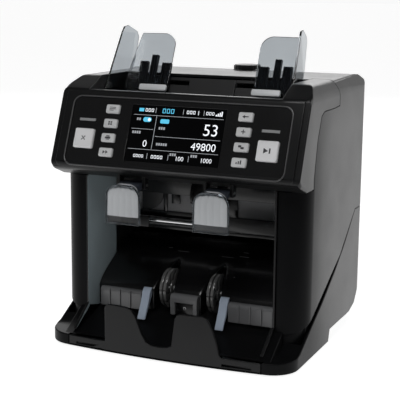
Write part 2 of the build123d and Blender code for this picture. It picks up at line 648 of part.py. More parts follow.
with BuildPart() as stacker_skis:
    for side in (-1, 1):
        with BuildSketch(side_plane(side * 41 - 4.3)):
            with BuildLine():
                outer_curve = Spline((-57.8, 52.5), (-61.5, 50), (-66.5, 40), (-72.5, 29), (-75, 23.4))
                Line(outer_curve @ 1, (-72.5, 23.6))
                inner_curve = Spline((-72.5, 23.6), (-69, 29), (-62.5, 38), (-57.8, 45))
                Line(inner_curve @ 1, outer_curve @ 0)
            make_face()
        extrude(amount=8.6)
name_and_save(stacker_skis, "stacker_skis")

with BuildPart() as pocket_liners:
    for side in (-1, 1):
        with BuildSketch(side_plane(side * (POCKET_HALF + 0.9) - 0.8)):
            polygon((-79, 33), (-79, 162.5), (-20, 162.5), (-20, 28), (-60, 28))
            with Locations(STACKER):
                Circle(4.5, mode=Mode.SUBTRACT)
        extrude(amount=1.6)
        with BuildSketch(side_plane(side * (POCKET_HALF + 0.2) - 1.5)):
            polygon((-79, 31.8), (-79, 35), (-81, 35), (-106, 16.2), (-106, 15.6))
        extrude(amount=3)
name_and_save(pocket_liners, "pocket_liners")

# ---- reject pocket: back plate with dark arms ------------------------------------------------------
with BuildPart() as reject_back_plate:
    block((-96, 96), (-1.5, 0.5), (117, 158))
    block((-96, 96), (-13, 0.5), (155.5, 158))
    # guide arms that reach forward beside the reject wheels
    for arm_x in (-62, -48, -14, 14, 48, 62):
        with BuildSketch(side_plane(arm_x - 2)):
            polygon((-1, 154), (-12, 154), (-20, 136), (-20, 124), (-8, 121), (-1, 121))
        extrude(amount=4)
name_and_save(reject_back_plate, "reject_back_plate")

# ---- chassis side plates with their bearings -------------------------------------------------------
SHAFTS = [PICKUP, FEED, TRANSPORT, REJECT, STACKER]
with BuildPart() as chassis_plates:
    for side in (-1, 1):
        with BuildSketch(side_plane(side * (PLATE_X + PLATE_T / 2) - PLATE_T / 2)):
            polygon((-49, 42), (-49, 214), (8, 216), (8, 250), (98, 250), (98, 60), (40, 32), (-38, 32))
            with Locations(*SHAFTS):
                Circle(BEARING_OD_R, mode=Mode.SUBTRACT)
            with Locations(MOTOR):
                Circle(7, mode=Mode.SUBTRACT)
            with Locations(GATE):
                Circle(2.1, mode=Mode.SUBTRACT)
        extrude(amount=PLATE_T)
name_and_save(chassis_plates, "chassis_plates")

with BuildPart() as shaft_bearings:
    for side in (-1, 1):
        with BuildSketch(side_plane(side * (PLATE_X + 1) - 2.2)):
            with Locations(*SHAFTS):
                Circle(BEARING_OD_R)
                Circle(BEARING_R, mode=Mode.SUBTRACT)
        extrude(amount=4.4)
name_and_save(shaft_bearings, "shaft_bearings")


def roller_set(centre, radius, width, positions, label):
    """Steel shaft between the bearings with grooved rollers at the given places."""
    with BuildPart() as rollers:
        rod(-105, 106, centre, SHAFT_R)
        for x in positions:
            rod(x - width / 2, x + width / 2, centre, radius)
            rod(x - 1, x + 1, centre, radius + 1, Mode.SUBTRACT)
            rod(x - 1, x + 1, centre, radius - 1.5)
    name_and_save(rollers, label)


roller_set(PICKUP, PICKUP_R, ROLLER_W, (-ROLLER_X, ROLLER_X), "pickup_rollers")
roller_set(FEED, FEED_R, ROLLER_W, (-ROLLER_X, ROLLER_X), "feed_rollers")
roller_set(REJECT, REJECT_R, REJECT_W, REJECT_PLACES, "reject_rollers")

with BuildPart() as transport_rollers:
    rod(-105, 114, TRANSPORT, SHAFT_R)
    for x in (-70, -ROLLER_X, ROLLER_X, 70):
        rod(x - 7, x + 7, TRANSPORT, TRANSPORT_R)
    rod(*BELT_X, TRANSPORT, PULLEY_R)
name_and_save(transport_rollers, "transport_rollers")

# Stacker wheels: hubs with curved flexible fins that lay the notes down.
FINS = 10
with BuildPart() as stacker_wheels:
    rod(-105, 106, STACKER, SHAFT_R)
    for side in (-1, 1):
        rod(side * STACKER_X - STACKER_W / 2, side * STACKER_X + STACKER_W / 2, STACKER, STACKER_HUB_R)
        with BuildSketch(side_plane(side * STACKER_X - STACKER_W / 2 + 0.5)):
            with Locations(STACKER):
                with PolarLocations(0, FINS):
                    polygon((7, -1), (14, -2.6), (STACKER_R - 1.2, -6.4), (STACKER_R - 1, -4.6),
                            (14.2, -0.6), (7, 1))
        extrude(amount=STACKER_W - 1)
name_and_save(stacker_wheels, "stacker_wheels")

# ---- drive: motor, pulley and toothed belt ---------------------------------------------------------
with BuildPart() as main_motor:
    rod(54, 97.5, MOTOR, 18)
    rod(97.5, PLATE_X, MOTOR, 6.5)
    fillet(main_motor.faces().sort_by(Axis.X)[0].edges(), 2)
    rod(53, PLATE_X + 1, MOTOR, 1.6, Mode.SUBTRACT)
name_and_save(main_motor, "main_motor")

MOTOR_PULLEY_R = 8.0
with BuildPart() as motor_pulley:
    rod(60, 114, MOTOR, 1.5)
    rod(*BELT_X, MOTOR, MOTOR_PULLEY_R)
name_and_save(motor_pulley, "motor_pulley")

BELT_T = 1.4
with BuildPart() as drive_belt:
    for growth, mode in ((FIT_GAP + BELT_T, Mode.ADD), (FIT_GAP, Mode.SUBTRACT)):
        with BuildSketch(side_plane(BELT_X[0] + 0.5)):
            with Locations(TRANSPORT):
                Circle(PULLEY_R + growth)
            with Locations(MOTOR):
                Circle(MOTOR_PULLEY_R + growth)
            make_hull()
        extrude(amount=4, mode=mode)
name_and_save(drive_belt, "drive_belt")

# ---- sensor bars on both sides of the note path, separation block and diverter gate ----------------
with BuildPart() as sensor_bar_front:
    block((-95, 95), (2, 17), (142, 168))
    chamfer(sensor_bar_front.edges().filter_by(Axis.X).group_by(Axis.Y)[-1], 3)
name_and_save(sensor_bar_front, "sensor_bar_front")

with BuildPart() as sensor_bar_rear:
    block((-95, 95), (22, 40), (142, 168))
    chamfer(sensor_bar_rear.edges().filter_by(Axis.X).group_by(Axis.Y)[0], 3)
name_and_save(sensor_bar_rear, "sensor_bar_rear")

with BuildPart() as separation_block:
    block((-95, 95), (20, 34), (196, 212))
    for side in (-1, 1):
        block((side * (ROLLER_X - 8), side * (ROLLER_X + 8)), (6, 21), (198, 208))
        rod(side * ROLLER_X - ROLLER_W / 2, side * ROLLER_X + ROLLER_W / 2, SEPARATION, SEPARATION_R)
name_and_save(separation_block, "separation_block")

GATE_FINGERS = (-84, -58, -46, -20, 0, 20, 46, 58, 84)   # between the transport rollers
with BuildPart() as diverter_gate:
    rod(-103, 103, GATE, 2)
    rod(-92, 92, GATE, 3)
    for x in GATE_FINGERS:
        with BuildSketch(side_plane(x - 2)):
            polygon((GATE[0] - 2.6, GATE[1] + 1), (GATE[0] + 1, GATE[1] + 13), (GATE[0] + 2.6, GATE[1] + 1),
                    (GATE[0] + 1, GATE[1] - 2.5), (GATE[0] - 1, GATE[1] - 2.5))
        extrude(amount=4)
name_and_save(diverter_gate, "diverter_gate")

# ---- electronics -----------------------------------------------------------------------------------
with BuildPart() as mainboard:
    block((-111.6, -110), (-20, 90), (112, 222))
    for y, z, size_y, size_z, rise in ((10, 190, 22, 22, 2.5), (60, 200, 30, 12, 6), (20, 140, 14, 40, 5),
                                       (70, 150, 16, 16, 8)):
        block((-110, -110 + rise), (y - size_y / 2, y + size_y / 2), (z - size_z / 2, z + size_z / 2))
name_and_save(mainboard, "mainboard")

with BuildPart() as power_supply:
    block((-92, -10), (10, 66), (18, 52))
    for vent in range(7):
        block((-80 + vent * 9, -76 + vent * 9), (16, 60), (50, 53), Mode.SUBTRACT)
    for y in (14, 62):
        for x in (-88, -14):
            block((x - 3, x + 3), (y - 3, y + 3), (16, 18))
name_and_save(power_supply, "power_supply")

# ---- rear: connector frame, mains inlet, rocker switch and the access door ------------------------
FRAME_OUT = 117.6
INLET_X, INLET_Z = -62.0, 88.0
SWITCH_X, SWITCH_Z = -30.0, 88.0
PORTS = [(30, 12.6, 9.6), (52, 12.6, 9.6), (74, 15.6, 13.6)]   # x, width, height
PORT_Z = 90.0
PORT_SLACK = 0.4
rear_plane = Plane(origin=(0, FRAME_OUT, 0), x_dir=(-1, 0, 0), z_dir=(0, 1, 0))
with BuildPart() as rear_frame:
    with BuildSketch(rear_plane):
        with Locations((0, 90)):
            Rectangle(199, 59)
        with Locations((-INLET_X, INLET_Z)):
            Rectangle(28.4, 21.4, mode=Mode.SUBTRACT)
        with Locations((-SWITCH_X, SWITCH_Z)):
            Rectangle(13.4, 20.4, mode=Mode.SUBTRACT)
        for port_x, width, height in PORTS:
            with Locations((-port_x, PORT_Z)):
                Rectangle(width + PORT_SLACK, height + PORT_SLACK, mode=Mode.SUBTRACT)
    extrude(amount=-2.6)
    # lugs and pins of the access door
    for side in (-1, 1):
        block((side * 81, side * 86), (112, 115), (112, 129))
        rod(side * 90.5 - 4.5, side * 90.5 + 4.5, REAR_HINGE, 1.5)
name_and_save(rear_frame, "rear_frame")

with BuildPart() as power_inlet:
    with BuildSketch(rear_plane):
        with Locations((-INLET_X, INLET_Z)):
            Rectangle(28, 21)
    extrude(amount=-22)
    with BuildSketch(rear_plane):
        with Locations((-INLET_X, INLET_Z)):
            Rectangle(24, 16.5)
    extrude(amount=-17, mode=Mode.SUBTRACT)
    for dx, dz in ((-7, -1.5), (0, 2.5), (7, -1.5)):
        block((INLET_X + dx - 1, INLET_X + dx + 1), (FRAME_OUT - 18, FRAME_OUT - 5),
              (INLET_Z + dz - 2, INLET_Z + dz + 2))
name_and_save(power_inlet, "power_inlet")

with BuildPart() as power_switch:
    with BuildSketch(side_plane(SWITCH_X - 6)):
        polygon((111, SWITCH_Z - 7), (116.5, SWITCH_Z - 8.6), (118.7, SWITCH_Z - 8.2),
                (117.6, SWITCH_Z), (118.7, SWITCH_Z + 8.2), (116.5, SWITCH_Z + 8.6), (111, SWITCH_Z + 7))
    extrude(amount=12)
    rod(SWITCH_X - 6.4, SWITCH_X + 6.4, (114, SWITCH_Z), 1.5)
name_and_save(power_switch, "power_switch")

with BuildPart() as data_ports:
    for port_x, width, height in PORTS:
        block((port_x - width / 2, port_x + width / 2), (FRAME_OUT - 16, FRAME_OUT),
              (PORT_Z - height / 2, PORT_Z + height / 2))
        block((port_x - width / 2 + 1, port_x + width / 2 - 1), (FRAME_OUT - 12, FRAME_OUT + 1),
              (PORT_Z + 1 - height / 2, PORT_Z - 1 + height / 2), Mode.SUBTRACT)
name_and_save(data_ports, "data_ports")

DOOR_LOW = 124.5
DOOR_HIGH = 213.5
DOOR_T = 2.8
with BuildPart() as rear_door:
    with BuildSketch(Plane(origin=(0, REAR_Y - 0.2, 0), x_dir=(-1, 0, 0), z_dir=(0, 1, 0))):
        with Locations((0, (DOOR_LOW + DOOR_HIGH) / 2)):
            Rectangle(207, DOOR_HIGH - DOOR_LOW)
        # finger recess at the top
        with Locations((0, 208)):
            Rectangle(40, 11.4, mode=Mode.SUBTRACT)
        for side in (-1, 1):
            with Locations((side * 83.5, DOOR_LOW + 2.4)):
                Rectangle(8, 8, mode=Mode.SUBTRACT)
    extrude(amount=-DOOR_T)
    block((-22, 22), (112.4, 116.2), (199, DOOR_HIGH))
    # cooling slots
    for row in range(6):
        for side in (-1, 1):
            block((side * 30, side * 85), (110, 120), (138 + row * 7, 140.4 + row * 7), Mode.SUBTRACT)
    for side in (-1, 1):
        rod(side * 91 - 4, side * 91 + 4, REAR_HINGE, 2.8)
        block((side * 87, side * 95), (114, 117), (125.4, 129))
        rod(side * 91 - 5, side * 91 + 5, REAR_HINGE, 1.55, Mode.SUBTRACT)
name_and_save(rear_door, "rear_door")

# ---- feet and screws -------------------------------------------------------------------------------
with BuildPart() as feet:
    with BuildSketch():
        with Locations(*FRONT_FEET):
            Circle(7.8)
    extrude(amount=3)
    for side in (-1, 1):
        block((side * 94, side * 114), (92, 106), (0, 5))
name_and_save(feet, "feet")

SCREW_PLACES = [(-92, 66), (92, 66), (-92, 112), (92, 112)]
SCREW_HEAD = 1.2
with BuildPart() as cover_screws:
    with BuildSketch(Plane(origin=(0, FRAME_OUT + SCREW_HEAD, 0), x_dir=(-1, 0, 0), z_dir=(0, 1, 0))):
        with Locations(*SCREW_PLACES):
            Circle(3)
    extrude(amount=-SCREW_HEAD)
    with BuildSketch(Plane(origin=(0, FRAME_OUT + SCREW_HEAD, 0), x_dir=(-1, 0, 0), z_dir=(0, 1, 0))):
        with Locations(*SCREW_PLACES):
            Rectangle(3.6, 0.8)
            Rectangle(0.8, 3.6)
    extrude(amount=-0.8, mode=Mode.SUBTRACT)
name_and_save(cover_screws, "cover_screws")
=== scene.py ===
import json
from math import cos, pi, radians, sin

import bmesh
import bpy
from mathutils import Matrix, Vector


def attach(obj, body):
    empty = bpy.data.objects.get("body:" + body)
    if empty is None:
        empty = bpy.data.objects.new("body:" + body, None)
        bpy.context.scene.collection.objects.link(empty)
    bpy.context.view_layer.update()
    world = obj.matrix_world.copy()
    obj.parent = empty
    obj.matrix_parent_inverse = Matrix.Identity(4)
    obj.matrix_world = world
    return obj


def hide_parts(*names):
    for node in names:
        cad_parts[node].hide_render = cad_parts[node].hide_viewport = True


# Looks of a two-pocket banknote counter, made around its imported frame: +X to the operator's right,
# +Y to the back, +Z up. Shapes are drawn in millimetres and scaled to the frame's metres by MM.
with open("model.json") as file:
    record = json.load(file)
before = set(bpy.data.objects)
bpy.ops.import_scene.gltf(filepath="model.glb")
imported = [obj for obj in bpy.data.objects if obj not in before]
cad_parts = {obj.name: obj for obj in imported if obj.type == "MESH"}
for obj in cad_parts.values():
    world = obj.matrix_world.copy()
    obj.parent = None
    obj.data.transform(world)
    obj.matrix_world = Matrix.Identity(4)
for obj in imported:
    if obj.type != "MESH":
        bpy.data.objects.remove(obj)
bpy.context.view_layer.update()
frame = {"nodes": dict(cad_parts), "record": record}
NODES = frame["nodes"]
RECORD = frame["record"]
SLOT_OF = {row["node"]: row["material_slot"] for row in RECORD["subparts"]}
BODY_OF = {n: b for b, members in RECORD["behaviour"]["bodies"].items() for n in members}
MM = 0.001
scene = bpy.context.scene


# ---- materials -----------------------------------------------------------------------------------
PATCH_SCALE = 22.0        # patches of slightly different gloss, about 45 mm across
GRAIN_DEPTH = 0.0002      # height of the moulded grain, in metres
BRUSHED = (1.0, 12.0, 12.0)        # grain drawn out along X
HOUSING_BLACK = (0.0052, 0.0054, 0.0059)
HEAD_BLACK = (0.0085, 0.0087, 0.0092)
BASE_BLACK = (0.0050, 0.0052, 0.0057)


def new_shader(name):
    """A material with its tree and its Principled shader."""
    mat = bpy.data.materials.new(name)
    mat.use_nodes = True
    return mat, mat.node_tree, mat.node_tree.nodes["Principled BSDF"]


def noise_at(tree, scale, detail=2.0, stretch=None):
    """Noise over the object's own coordinates, with its own stretch along an axis."""
    coords = tree.nodes.new("ShaderNodeTexCoord")
    texture = tree.nodes.new("ShaderNodeTexNoise")
    texture.inputs["Scale"].default_value = scale
    texture.inputs["Detail"].default_value = detail
    source = coords.outputs["Object"]
    if stretch is not None:
        mapping = tree.nodes.new("ShaderNodeMapping")
        mapping.inputs["Scale"].default_value = stretch
        tree.links.new(source, mapping.inputs["Vector"])
        source = mapping.outputs["Vector"]
    tree.links.new(source, texture.inputs["Vector"])
    return texture.outputs["Fac"]


def spread(tree, value, low, high):
    """Map the middle of a noise to a range of numbers."""
    ramp = tree.nodes.new("ShaderNodeMapRange")
    ramp.inputs["From Min"].default_value = 0.3
    ramp.inputs["From Max"].default_value = 0.7
    ramp.inputs["To Min"].default_value = low
    ramp.inputs["To Max"].default_value = high
    tree.links.new(value, ramp.inputs["Value"])
    return ramp.outputs["Result"]


def tint(tree, value, colour, vary):
    """Two close shades of a colour, mixed by a noise."""
    mix = tree.nodes.new("ShaderNodeMix")
    mix.data_type = "RGBA"
    shades = [[min(1.0, c * f) for c in colour] + [1.0] for f in (1 - vary, 1 + vary)]
    mix.inputs["A"].default_value = shades[0]
    mix.inputs["B"].default_value = shades[1]
    tree.links.new(spread(tree, value, 0.0, 1.0), mix.inputs["Factor"])
    return mix.outputs["Result"]


def roughen(tree, shader, value, strength, distance):
    """Bump from a noise on the shader's normal."""
    bump = tree.nodes.new("ShaderNodeBump")
    bump.inputs["Strength"].default_value = strength
    bump.inputs["Distance"].default_value = distance
    tree.links.new(value, bump.inputs["Height"])
    tree.links.new(bump.outputs["Normal"], shader.inputs["Normal"])


def moulded(name, colour, rough, grain=1500.0, bump=0.25, spec=0.4, vary=0.06, stretch=None, **extra):
    """Moulded or machined surface: grain, patchy gloss and a slight drift of colour."""
    mat, tree, shader = new_shader(name)
    patch = noise_at(tree, PATCH_SCALE, 3.0, stretch)
    tree.links.new(tint(tree, patch, colour, vary), shader.inputs["Base Color"])
    tree.links.new(spread(tree, patch, rough * 0.9, min(1.0, rough * 1.12)), shader.inputs["Roughness"])
    roughen(tree, shader, noise_at(tree, grain, 2.0, stretch), bump, GRAIN_DEPTH)
    shader.inputs["Specular IOR Level"].default_value = spec
    for socket, level in extra.items():
        shader.inputs[socket.replace("_", " ")].default_value = level
    return mat


def ramp_along(tree, coords_output, axis, reach, levels, smooth=False):
    """Level that changes along an axis: levels[0] up to reach[0], levels[1] from reach[1] on."""
    coords = tree.nodes.new("ShaderNodeTexCoord")
    along = tree.nodes.new("ShaderNodeVectorMath")
    along.operation = "DOT_PRODUCT"
    along.inputs[1].default_value = axis
    ramp = tree.nodes.new("ShaderNodeMapRange")
    ramp.interpolation_type = "SMOOTHSTEP" if smooth else "LINEAR"
    for socket, level in zip(("From Min", "From Max", "To Min", "To Max"), (*reach, *levels)):
        ramp.inputs[socket].default_value = level
    tree.links.new(coords.outputs[coords_output], along.inputs[0])
    tree.links.new(along.outputs["Value"], ramp.inputs["Value"])
    return ramp.outputs["Result"]


def glowing(name, colour, strength):
    """Lit pixels of the display, with a faint uneven glow."""
    mat, tree, shader = new_shader(name)
    shader.inputs["Base Color"].default_value = (*[c * 0.4 for c in colour], 1.0)
    shader.inputs["Emission Color"].default_value = (*colour, 1.0)
    level = spread(tree, noise_at(tree, 300.0), strength * 0.92, strength * 1.06)
    tree.links.new(level, shader.inputs["Emission Strength"])
    return mat


def duller_front(mat, dull, shiny, start, stop):
    """Textured front that turns into the smoother side: specular level along the depth of the machine."""
    tree = mat.node_tree
    level = ramp_along(tree, "Object", (0.0, 1.0, 0.0), (start, stop), (dull, shiny), smooth=True)
    tree.links.new(level, tree.nodes["Principled BSDF"].inputs["Specular IOR Level"])


MATERIALS = {
    "housing": moulded("housing", HOUSING_BLACK, 0.33, bump=0.2, spec=0.37),
    "base_plastic": moulded("base_plastic", BASE_BLACK, 0.33, bump=0.2, spec=0.37),
    "console_gloss": moulded("console_gloss", (0.0085, 0.0085, 0.009), 0.20, grain=500.0, bump=0.04,
                             spec=0.45),
    "screen": moulded("screen", (0.0015, 0.0016, 0.002), 0.12, grain=200.0, bump=0.01, spec=0.22),
    "key_silver": moulded("key_silver", (0.72, 0.725, 0.73), 0.34, grain=2200.0, bump=0.12, spec=0.5),
    "light_bar": moulded("light_bar", (0.34, 0.345, 0.35), 0.3, grain=900.0, bump=0.1),
    "guide_smoke": moulded("guide_smoke", (0.42, 0.45, 0.475), 0.05, grain=60.0, bump=0.02, spec=0.16,
                           Transmission_Weight=1.0, IOR=1.46),
    "comb_dark": moulded("comb_dark", (0.042, 0.049, 0.062), 0.36, bump=0.12, spec=0.30),
    "flap_frost": moulded("flap_frost", (0.62, 0.64, 0.66), 0.42, grain=900.0, bump=0.1,
                          Transmission_Weight=0.12, IOR=1.46),
    "tray_gloss": moulded("tray_gloss", (0.0045, 0.0045, 0.005), 0.20, grain=160.0, bump=0.02, spec=0.5),
    "lip_grey": moulded("lip_grey", (0.13, 0.131, 0.135), 0.24, bump=0.1, spec=0.55),
    "ski_blue": moulded("ski_blue", (0.50, 0.58, 0.70), 0.14, grain=300.0, bump=0.05, spec=0.9,
                        Transmission_Weight=0.15, IOR=1.46),
    "liner_blue": moulded("liner_blue", (0.42, 0.50, 0.53), 0.34, grain=900.0, bump=0.1),
    "plate_grey": moulded("plate_grey", (0.20, 0.20, 0.205), 0.4, bump=0.15),
    "steel": moulded("steel", (0.55, 0.56, 0.57), 0.32, grain=700.0, bump=0.1, stretch=BRUSHED,
                     Metallic=1.0),
    "bright_shaft": moulded("bright_shaft", (0.8, 0.81, 0.82), 0.16, grain=700.0, bump=0.04,
                            stretch=BRUSHED, Metallic=1.0),
    "roller_rubber": moulded("roller_rubber", (0.018, 0.018, 0.018), 0.7, grain=1100.0, bump=0.4, spec=0.3),
    "foot_rubber": moulded("foot_rubber", (0.012, 0.012, 0.012), 0.75, grain=1100.0, bump=0.4, spec=0.3),
    "board_green": moulded("board_green", (0.010, 0.085, 0.035), 0.35, grain=500.0, bump=0.3, vary=0.3),
    "motor_metal": moulded("motor_metal", (0.34, 0.34, 0.35), 0.38, grain=800.0, bump=0.1, stretch=BRUSHED,
                           Metallic=1.0),
    "white_gear": moulded("white_gear", (0.62, 0.62, 0.58), 0.45, bump=0.1),
    "port_black": moulded("port_black", (0.010, 0.010, 0.011), 0.4, bump=0.15),
}
KEY_BRIGHT = moulded("key_bright", (0.93, 0.93, 0.94), 0.32, grain=2200.0, bump=0.12, spec=0.5)
WHEEL_GREY = moulded("wheel_grey", (0.125, 0.125, 0.124), 0.17, grain=700.0, bump=0.05, spec=1.0)
# the console bead is a real raised ring; its light grey is a painted highlight along the edge of the console
# recess
BEAD_PAINTED_HIGHLIGHT = moulded("bead", (0.085, 0.085, 0.087), 0.30, bump=0.1, spec=0.6)
PLATE_DARK = moulded("plate_dark", (0.020, 0.020, 0.021), 0.34, bump=0.1, spec=0.5)
FROST_EDGE = moulded("frost_edge", (0.88, 0.90, 0.92), 0.3, grain=500.0, bump=0.05)
HOUSING_FRONT = moulded("housing_front", HOUSING_BLACK, 0.33, bump=0.2)
HEAD_FRONT = moulded("head_front", HEAD_BLACK, 0.33, bump=0.2)
BASE_FRONT = moulded("base_front", BASE_BLACK, 0.33, bump=0.2)
PLATE_FRONT = moulded("plate_front", BASE_BLACK, 0.33, bump=0.2, spec=0.26)
LEGEND = moulded("legend_ink", (0.05, 0.05, 0.055), 0.5, bump=0.05)
CLEAR = moulded("clear_carrier", (0.58, 0.61, 0.64), 0.06, grain=60.0, bump=0.02, spec=0.2,
                Transmission_Weight=1.0, IOR=1.46)
PIXEL_WHITE = glowing("pixel_white", (0.92, 0.95, 1.0), 0.95)
PIXEL_GREY = glowing("pixel_grey", (0.45, 0.47, 0.50), 0.55)
PIXEL_CYAN = glowing("pixel_cyan", (0.10, 0.55, 0.80), 0.85)
duller_front(HOUSING_FRONT, 0.06, 0.37, -0.058, 0.010)
duller_front(BASE_FRONT, 0.06, 0.37, -0.060, 0.040)
duller_front(HEAD_FRONT, 0.24, 0.37, -0.080, -0.060)


def dress(obj, mat):
    """Give an object one material on every face."""
    obj.data.materials.clear()
    obj.data.materials.append(mat)


for node_name, node_obj in NODES.items():
    dress(node_obj, MATERIALS[SLOT_OF[node_name]])


# ---- mesh helpers --------------------------------------------------------------------------------
WELD = 0.004              # vertices this close, in mm, are one
FLAT_DEGREES = 0.4        # faces that turn by less than this are one
FLAT_FACE_WEIGHT = 60     # how strongly large faces set the normals round them


def piece(name, mesh_edit, mat, body, replaced=(), sharp=32.0):
    """Make an object from a bmesh, smooth it, and let it ride on a body of the frame."""
    mesh = bpy.data.meshes.new(name)
    bmesh.ops.recalc_face_normals(mesh_edit, faces=mesh_edit.faces)
    mesh_edit.to_mesh(mesh)
    mesh_edit.free()
    for polygon in mesh.polygons:
        polygon.use_smooth = True
    mesh.set_sharp_from_angle(angle=radians(sharp))
    obj = bpy.data.objects.new(name, mesh)
    scene.collection.objects.link(obj)
    dress(obj, mat)
    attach(obj, body)
    if replaced:
        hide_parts(*replaced)
    return obj


def edge_facts(edge):
    """Middle of an edge in mm, its unit direction, its length in mm and its signed angle in degrees."""
    a, b = edge.verts[0].co, edge.verts[1].co
    length = (b - a).length
    angle = edge.calc_face_angle_signed(0.0) * 180 / pi
    return (a + b) / (2 * MM), (b - a) / max(length, 1e-9), length / MM, angle


def soften(node, radius_of, segments=3, sharp=36.0, min_angle=24.0, min_length=1.2):
    """Copy a CAD node and round its outer edges. radius_of gives each edge's radius in mm."""
    work = bmesh.new()
    work.from_mesh(NODES[node].data)
    bmesh.ops.remove_doubles(work, verts=work.verts, dist=WELD * MM)
    bmesh.ops.dissolve_limit(work, angle_limit=radians(FLAT_DEGREES), verts=work.verts, edges=work.edges)
    weights = []
    for edge in work.edges:
        if len(edge.link_faces) != 2:
            continue
        middle, direction, length, angle = edge_facts(edge)
        if angle < min_angle or length < min_length:
            continue
        radius = radius_of(middle, direction, length)
        if radius > 0:
            weights.append((edge.index, radius))
    mesh = bpy.data.meshes.new(node + "_soft")
    work.to_mesh(mesh)
    work.free()
    for extra in ("custom_normal", "bevel_weight_edge"):
        if extra in mesh.attributes:
            mesh.attributes.remove(mesh.attributes[extra])
    widest = max(radius for index, radius in weights)
    layer = mesh.attributes.new("bevel_weight_edge", "FLOAT", "EDGE")
    for index, radius in weights:
        layer.data[index].value = radius / widest
    source = bpy.data.objects.new(node + "_source", mesh)
    scene.collection.objects.link(source)
    bevel = source.modifiers.new("round", "BEVEL")
    bevel.limit_method = "WEIGHT"
    bevel.width = widest * MM
    bevel.segments = segments
    bevel.use_clamp_overlap = False
    bevel.miter_outer = "MITER_SHARP"
    graph = bpy.context.evaluated_depsgraph_get()
    rounded = bpy.data.meshes.new_from_object(source.evaluated_get(graph))
    bpy.data.objects.remove(source)
    result = bmesh.new()
    result.from_mesh(rounded)
    slot = SLOT_OF[node]
    obj = piece(node + "_moulding", result, MATERIALS[slot], BODY_OF[node], (node,), sharp)
    weighted = obj.modifiers.new("flat_faces", "WEIGHTED_NORMAL")
    weighted.keep_sharp = True
    weighted.weight = FLAT_FACE_WEIGHT
    return obj


def from_outlines(edit, rings):
    """Skin a stack of outlines that have the same number of points, and close both ends."""
    rows = [[edit.verts.new(Vector(point) * MM) for point in ring] for ring in rings]
    count = len(rows[0])
    for low, high in zip(rows[:-1], rows[1:]):
        for i in range(count):
            j = (i + 1) % count
            edit.faces.new((low[i], low[j], high[j], high[i]))
    edit.faces.new(rows[0])
    edit.faces.new(rows[-1])


def round_off(edit, radius, segments=2, min_angle=30.0):
    """Round every edge of an edited mesh that turns by more than an angle."""
    limit = radians(min_angle)
    edges = [e for e in edit.edges if len(e.link_faces) == 2 and e.calc_face_angle(0.0) > limit]
    bmesh.ops.bevel(edit, geom=edges, offset=radius * MM, segments=segments, profile=0.5,
                    affect="EDGES", clamp_overlap=True)


def prism(edit, outline, place, depth, radius=0.0):
    """Extrude an outline in a plane by its depth. place turns (a, b, height) in mm into world mm."""
    part = bmesh.new()
    from_outlines(part, [[place(a, b, 0.0) for a, b in outline], [place(a, b, depth) for a, b in outline]])
    if radius > 0:
        bmesh.ops.recalc_face_normals(part, faces=part.faces)
        round_off(part, radius)
    merge(edit, part)


def merge(edit, part):
    """Add one edited mesh to another."""
    spare = bpy.data.meshes.new("spare")
    part.to_mesh(spare)
    part.free()
    edit.from_mesh(spare)
    bpy.data.meshes.remove(spare)


def frame_ring(edit, outer, inner, place, depth, radius=0.0):
    """Closed ring between two outlines with the same number of points."""
    part = bmesh.new()
    rows = []
    for outline, height in ((outer, 0.0), (outer, depth), (inner, depth), (inner, 0.0)):
        rows.append([part.verts.new(Vector(place(a, b, height)) * MM) for a, b in outline])
    count = len(outer)
    for row, after in zip(rows, rows[1:] + rows[:1]):
        for i in range(count):
            j = (i + 1) % count
            part.faces.new((row[i], row[j], after[j], after[i]))
    if radius > 0:
        bmesh.ops.recalc_face_normals(part, faces=part.faces)
        round_off(part, radius)
    merge(edit, part)


def rounded_rect(width, height, radius, centre=(0.0, 0.0), steps=5):
    """Outline of a rounded rectangle."""
    points = []
    for corner, (sx, sy) in enumerate(((1, 1), (-1, 1), (-1, -1), (1, -1))):
        for step in range(steps + 1):
            angle = (corner + step / steps) * pi / 2
            points.append((centre[0] + sx * (width / 2 - radius) + radius * cos(angle),
                           centre[1] + sy * (height / 2 - radius) + radius * sin(angle)))
    return points


def circle_outline(radius, centre=(0.0, 0.0), count=24):
    """Outline of a circle."""
    turns = [2 * pi * i / count for i in range(count)]
    return [(centre[0] + radius * cos(a), centre[1] + radius * sin(a)) for a in turns]


def facing_front(y):
    """Plane parallel to the front of the machine: a is X, b is Z, height comes forward."""
    return lambda a, b, height: (a, y - height, b)


def facing_side(x):
    """Plane across the machine: a is Y, b is Z, height goes to +X."""
    return lambda a, b, height: (x + height, a, b)


def even(radius):
    """Rule for soften that gives the same radius to every edge."""
    return lambda middle, direction, length: radius


# ---- housing shells --------------------------------------------------------------------------------
HALF_W = 126.0            # side walls
TOP_EDGE_Z = 246.0        # where they turn into the top chamfer
TOP_HALF = 118.0          # half width of the flat top
TOP_Z = 257.0             # the flat top
HEAD_TOP_Y = -46.0        # front edge of the flat top
RIDGE_Y, RIDGE_Z = -72.0, 245.0    # console ridge in front of the hopper
PILLAR_Y = -77.0          # front face of the pillars
HEAD_SIDE_Y = -60.0       # the head's own side edges lie in front of this
HEAD_LOWER_Y = -86.0      # its lower corners lie in front of this
HEAD_LOWER_Z = 179.0      # and below this
HEAD_FRONT_Y = -90.0      # the lower edge under the console lies in front of this
REAR_CORNER_Y, REAR_CORNER_Z = 60.0, 235.0   # behind and above this, edges shorter than
SHORT_EDGE = 20.0         # this stay sharp
CHAMFER_R = 4.5
PILLAR_R = 5.0
RIDGE_R = 3.0
HEAD_CORNER_R = 3.4
HEAD_SIDE_R = 1.3
HEAD_FRONT_R = 3.2
SEAM_R = 0.7
NEAR = 0.6                # an edge this close to a line lies on it
NEARLY = 1.0              # the same for lines that an arc or a chamfer meets
RIDGE_NEAR = 1.5          # the same for the console ridge
ALONG = 0.9               # an edge with this share of its direction runs along an axis
ACROSS = 0.95             # the same for edges that run across the machine
TINTED_SIDE = 0.7         # a liner's face with this much of its normal inwards faces the pocket


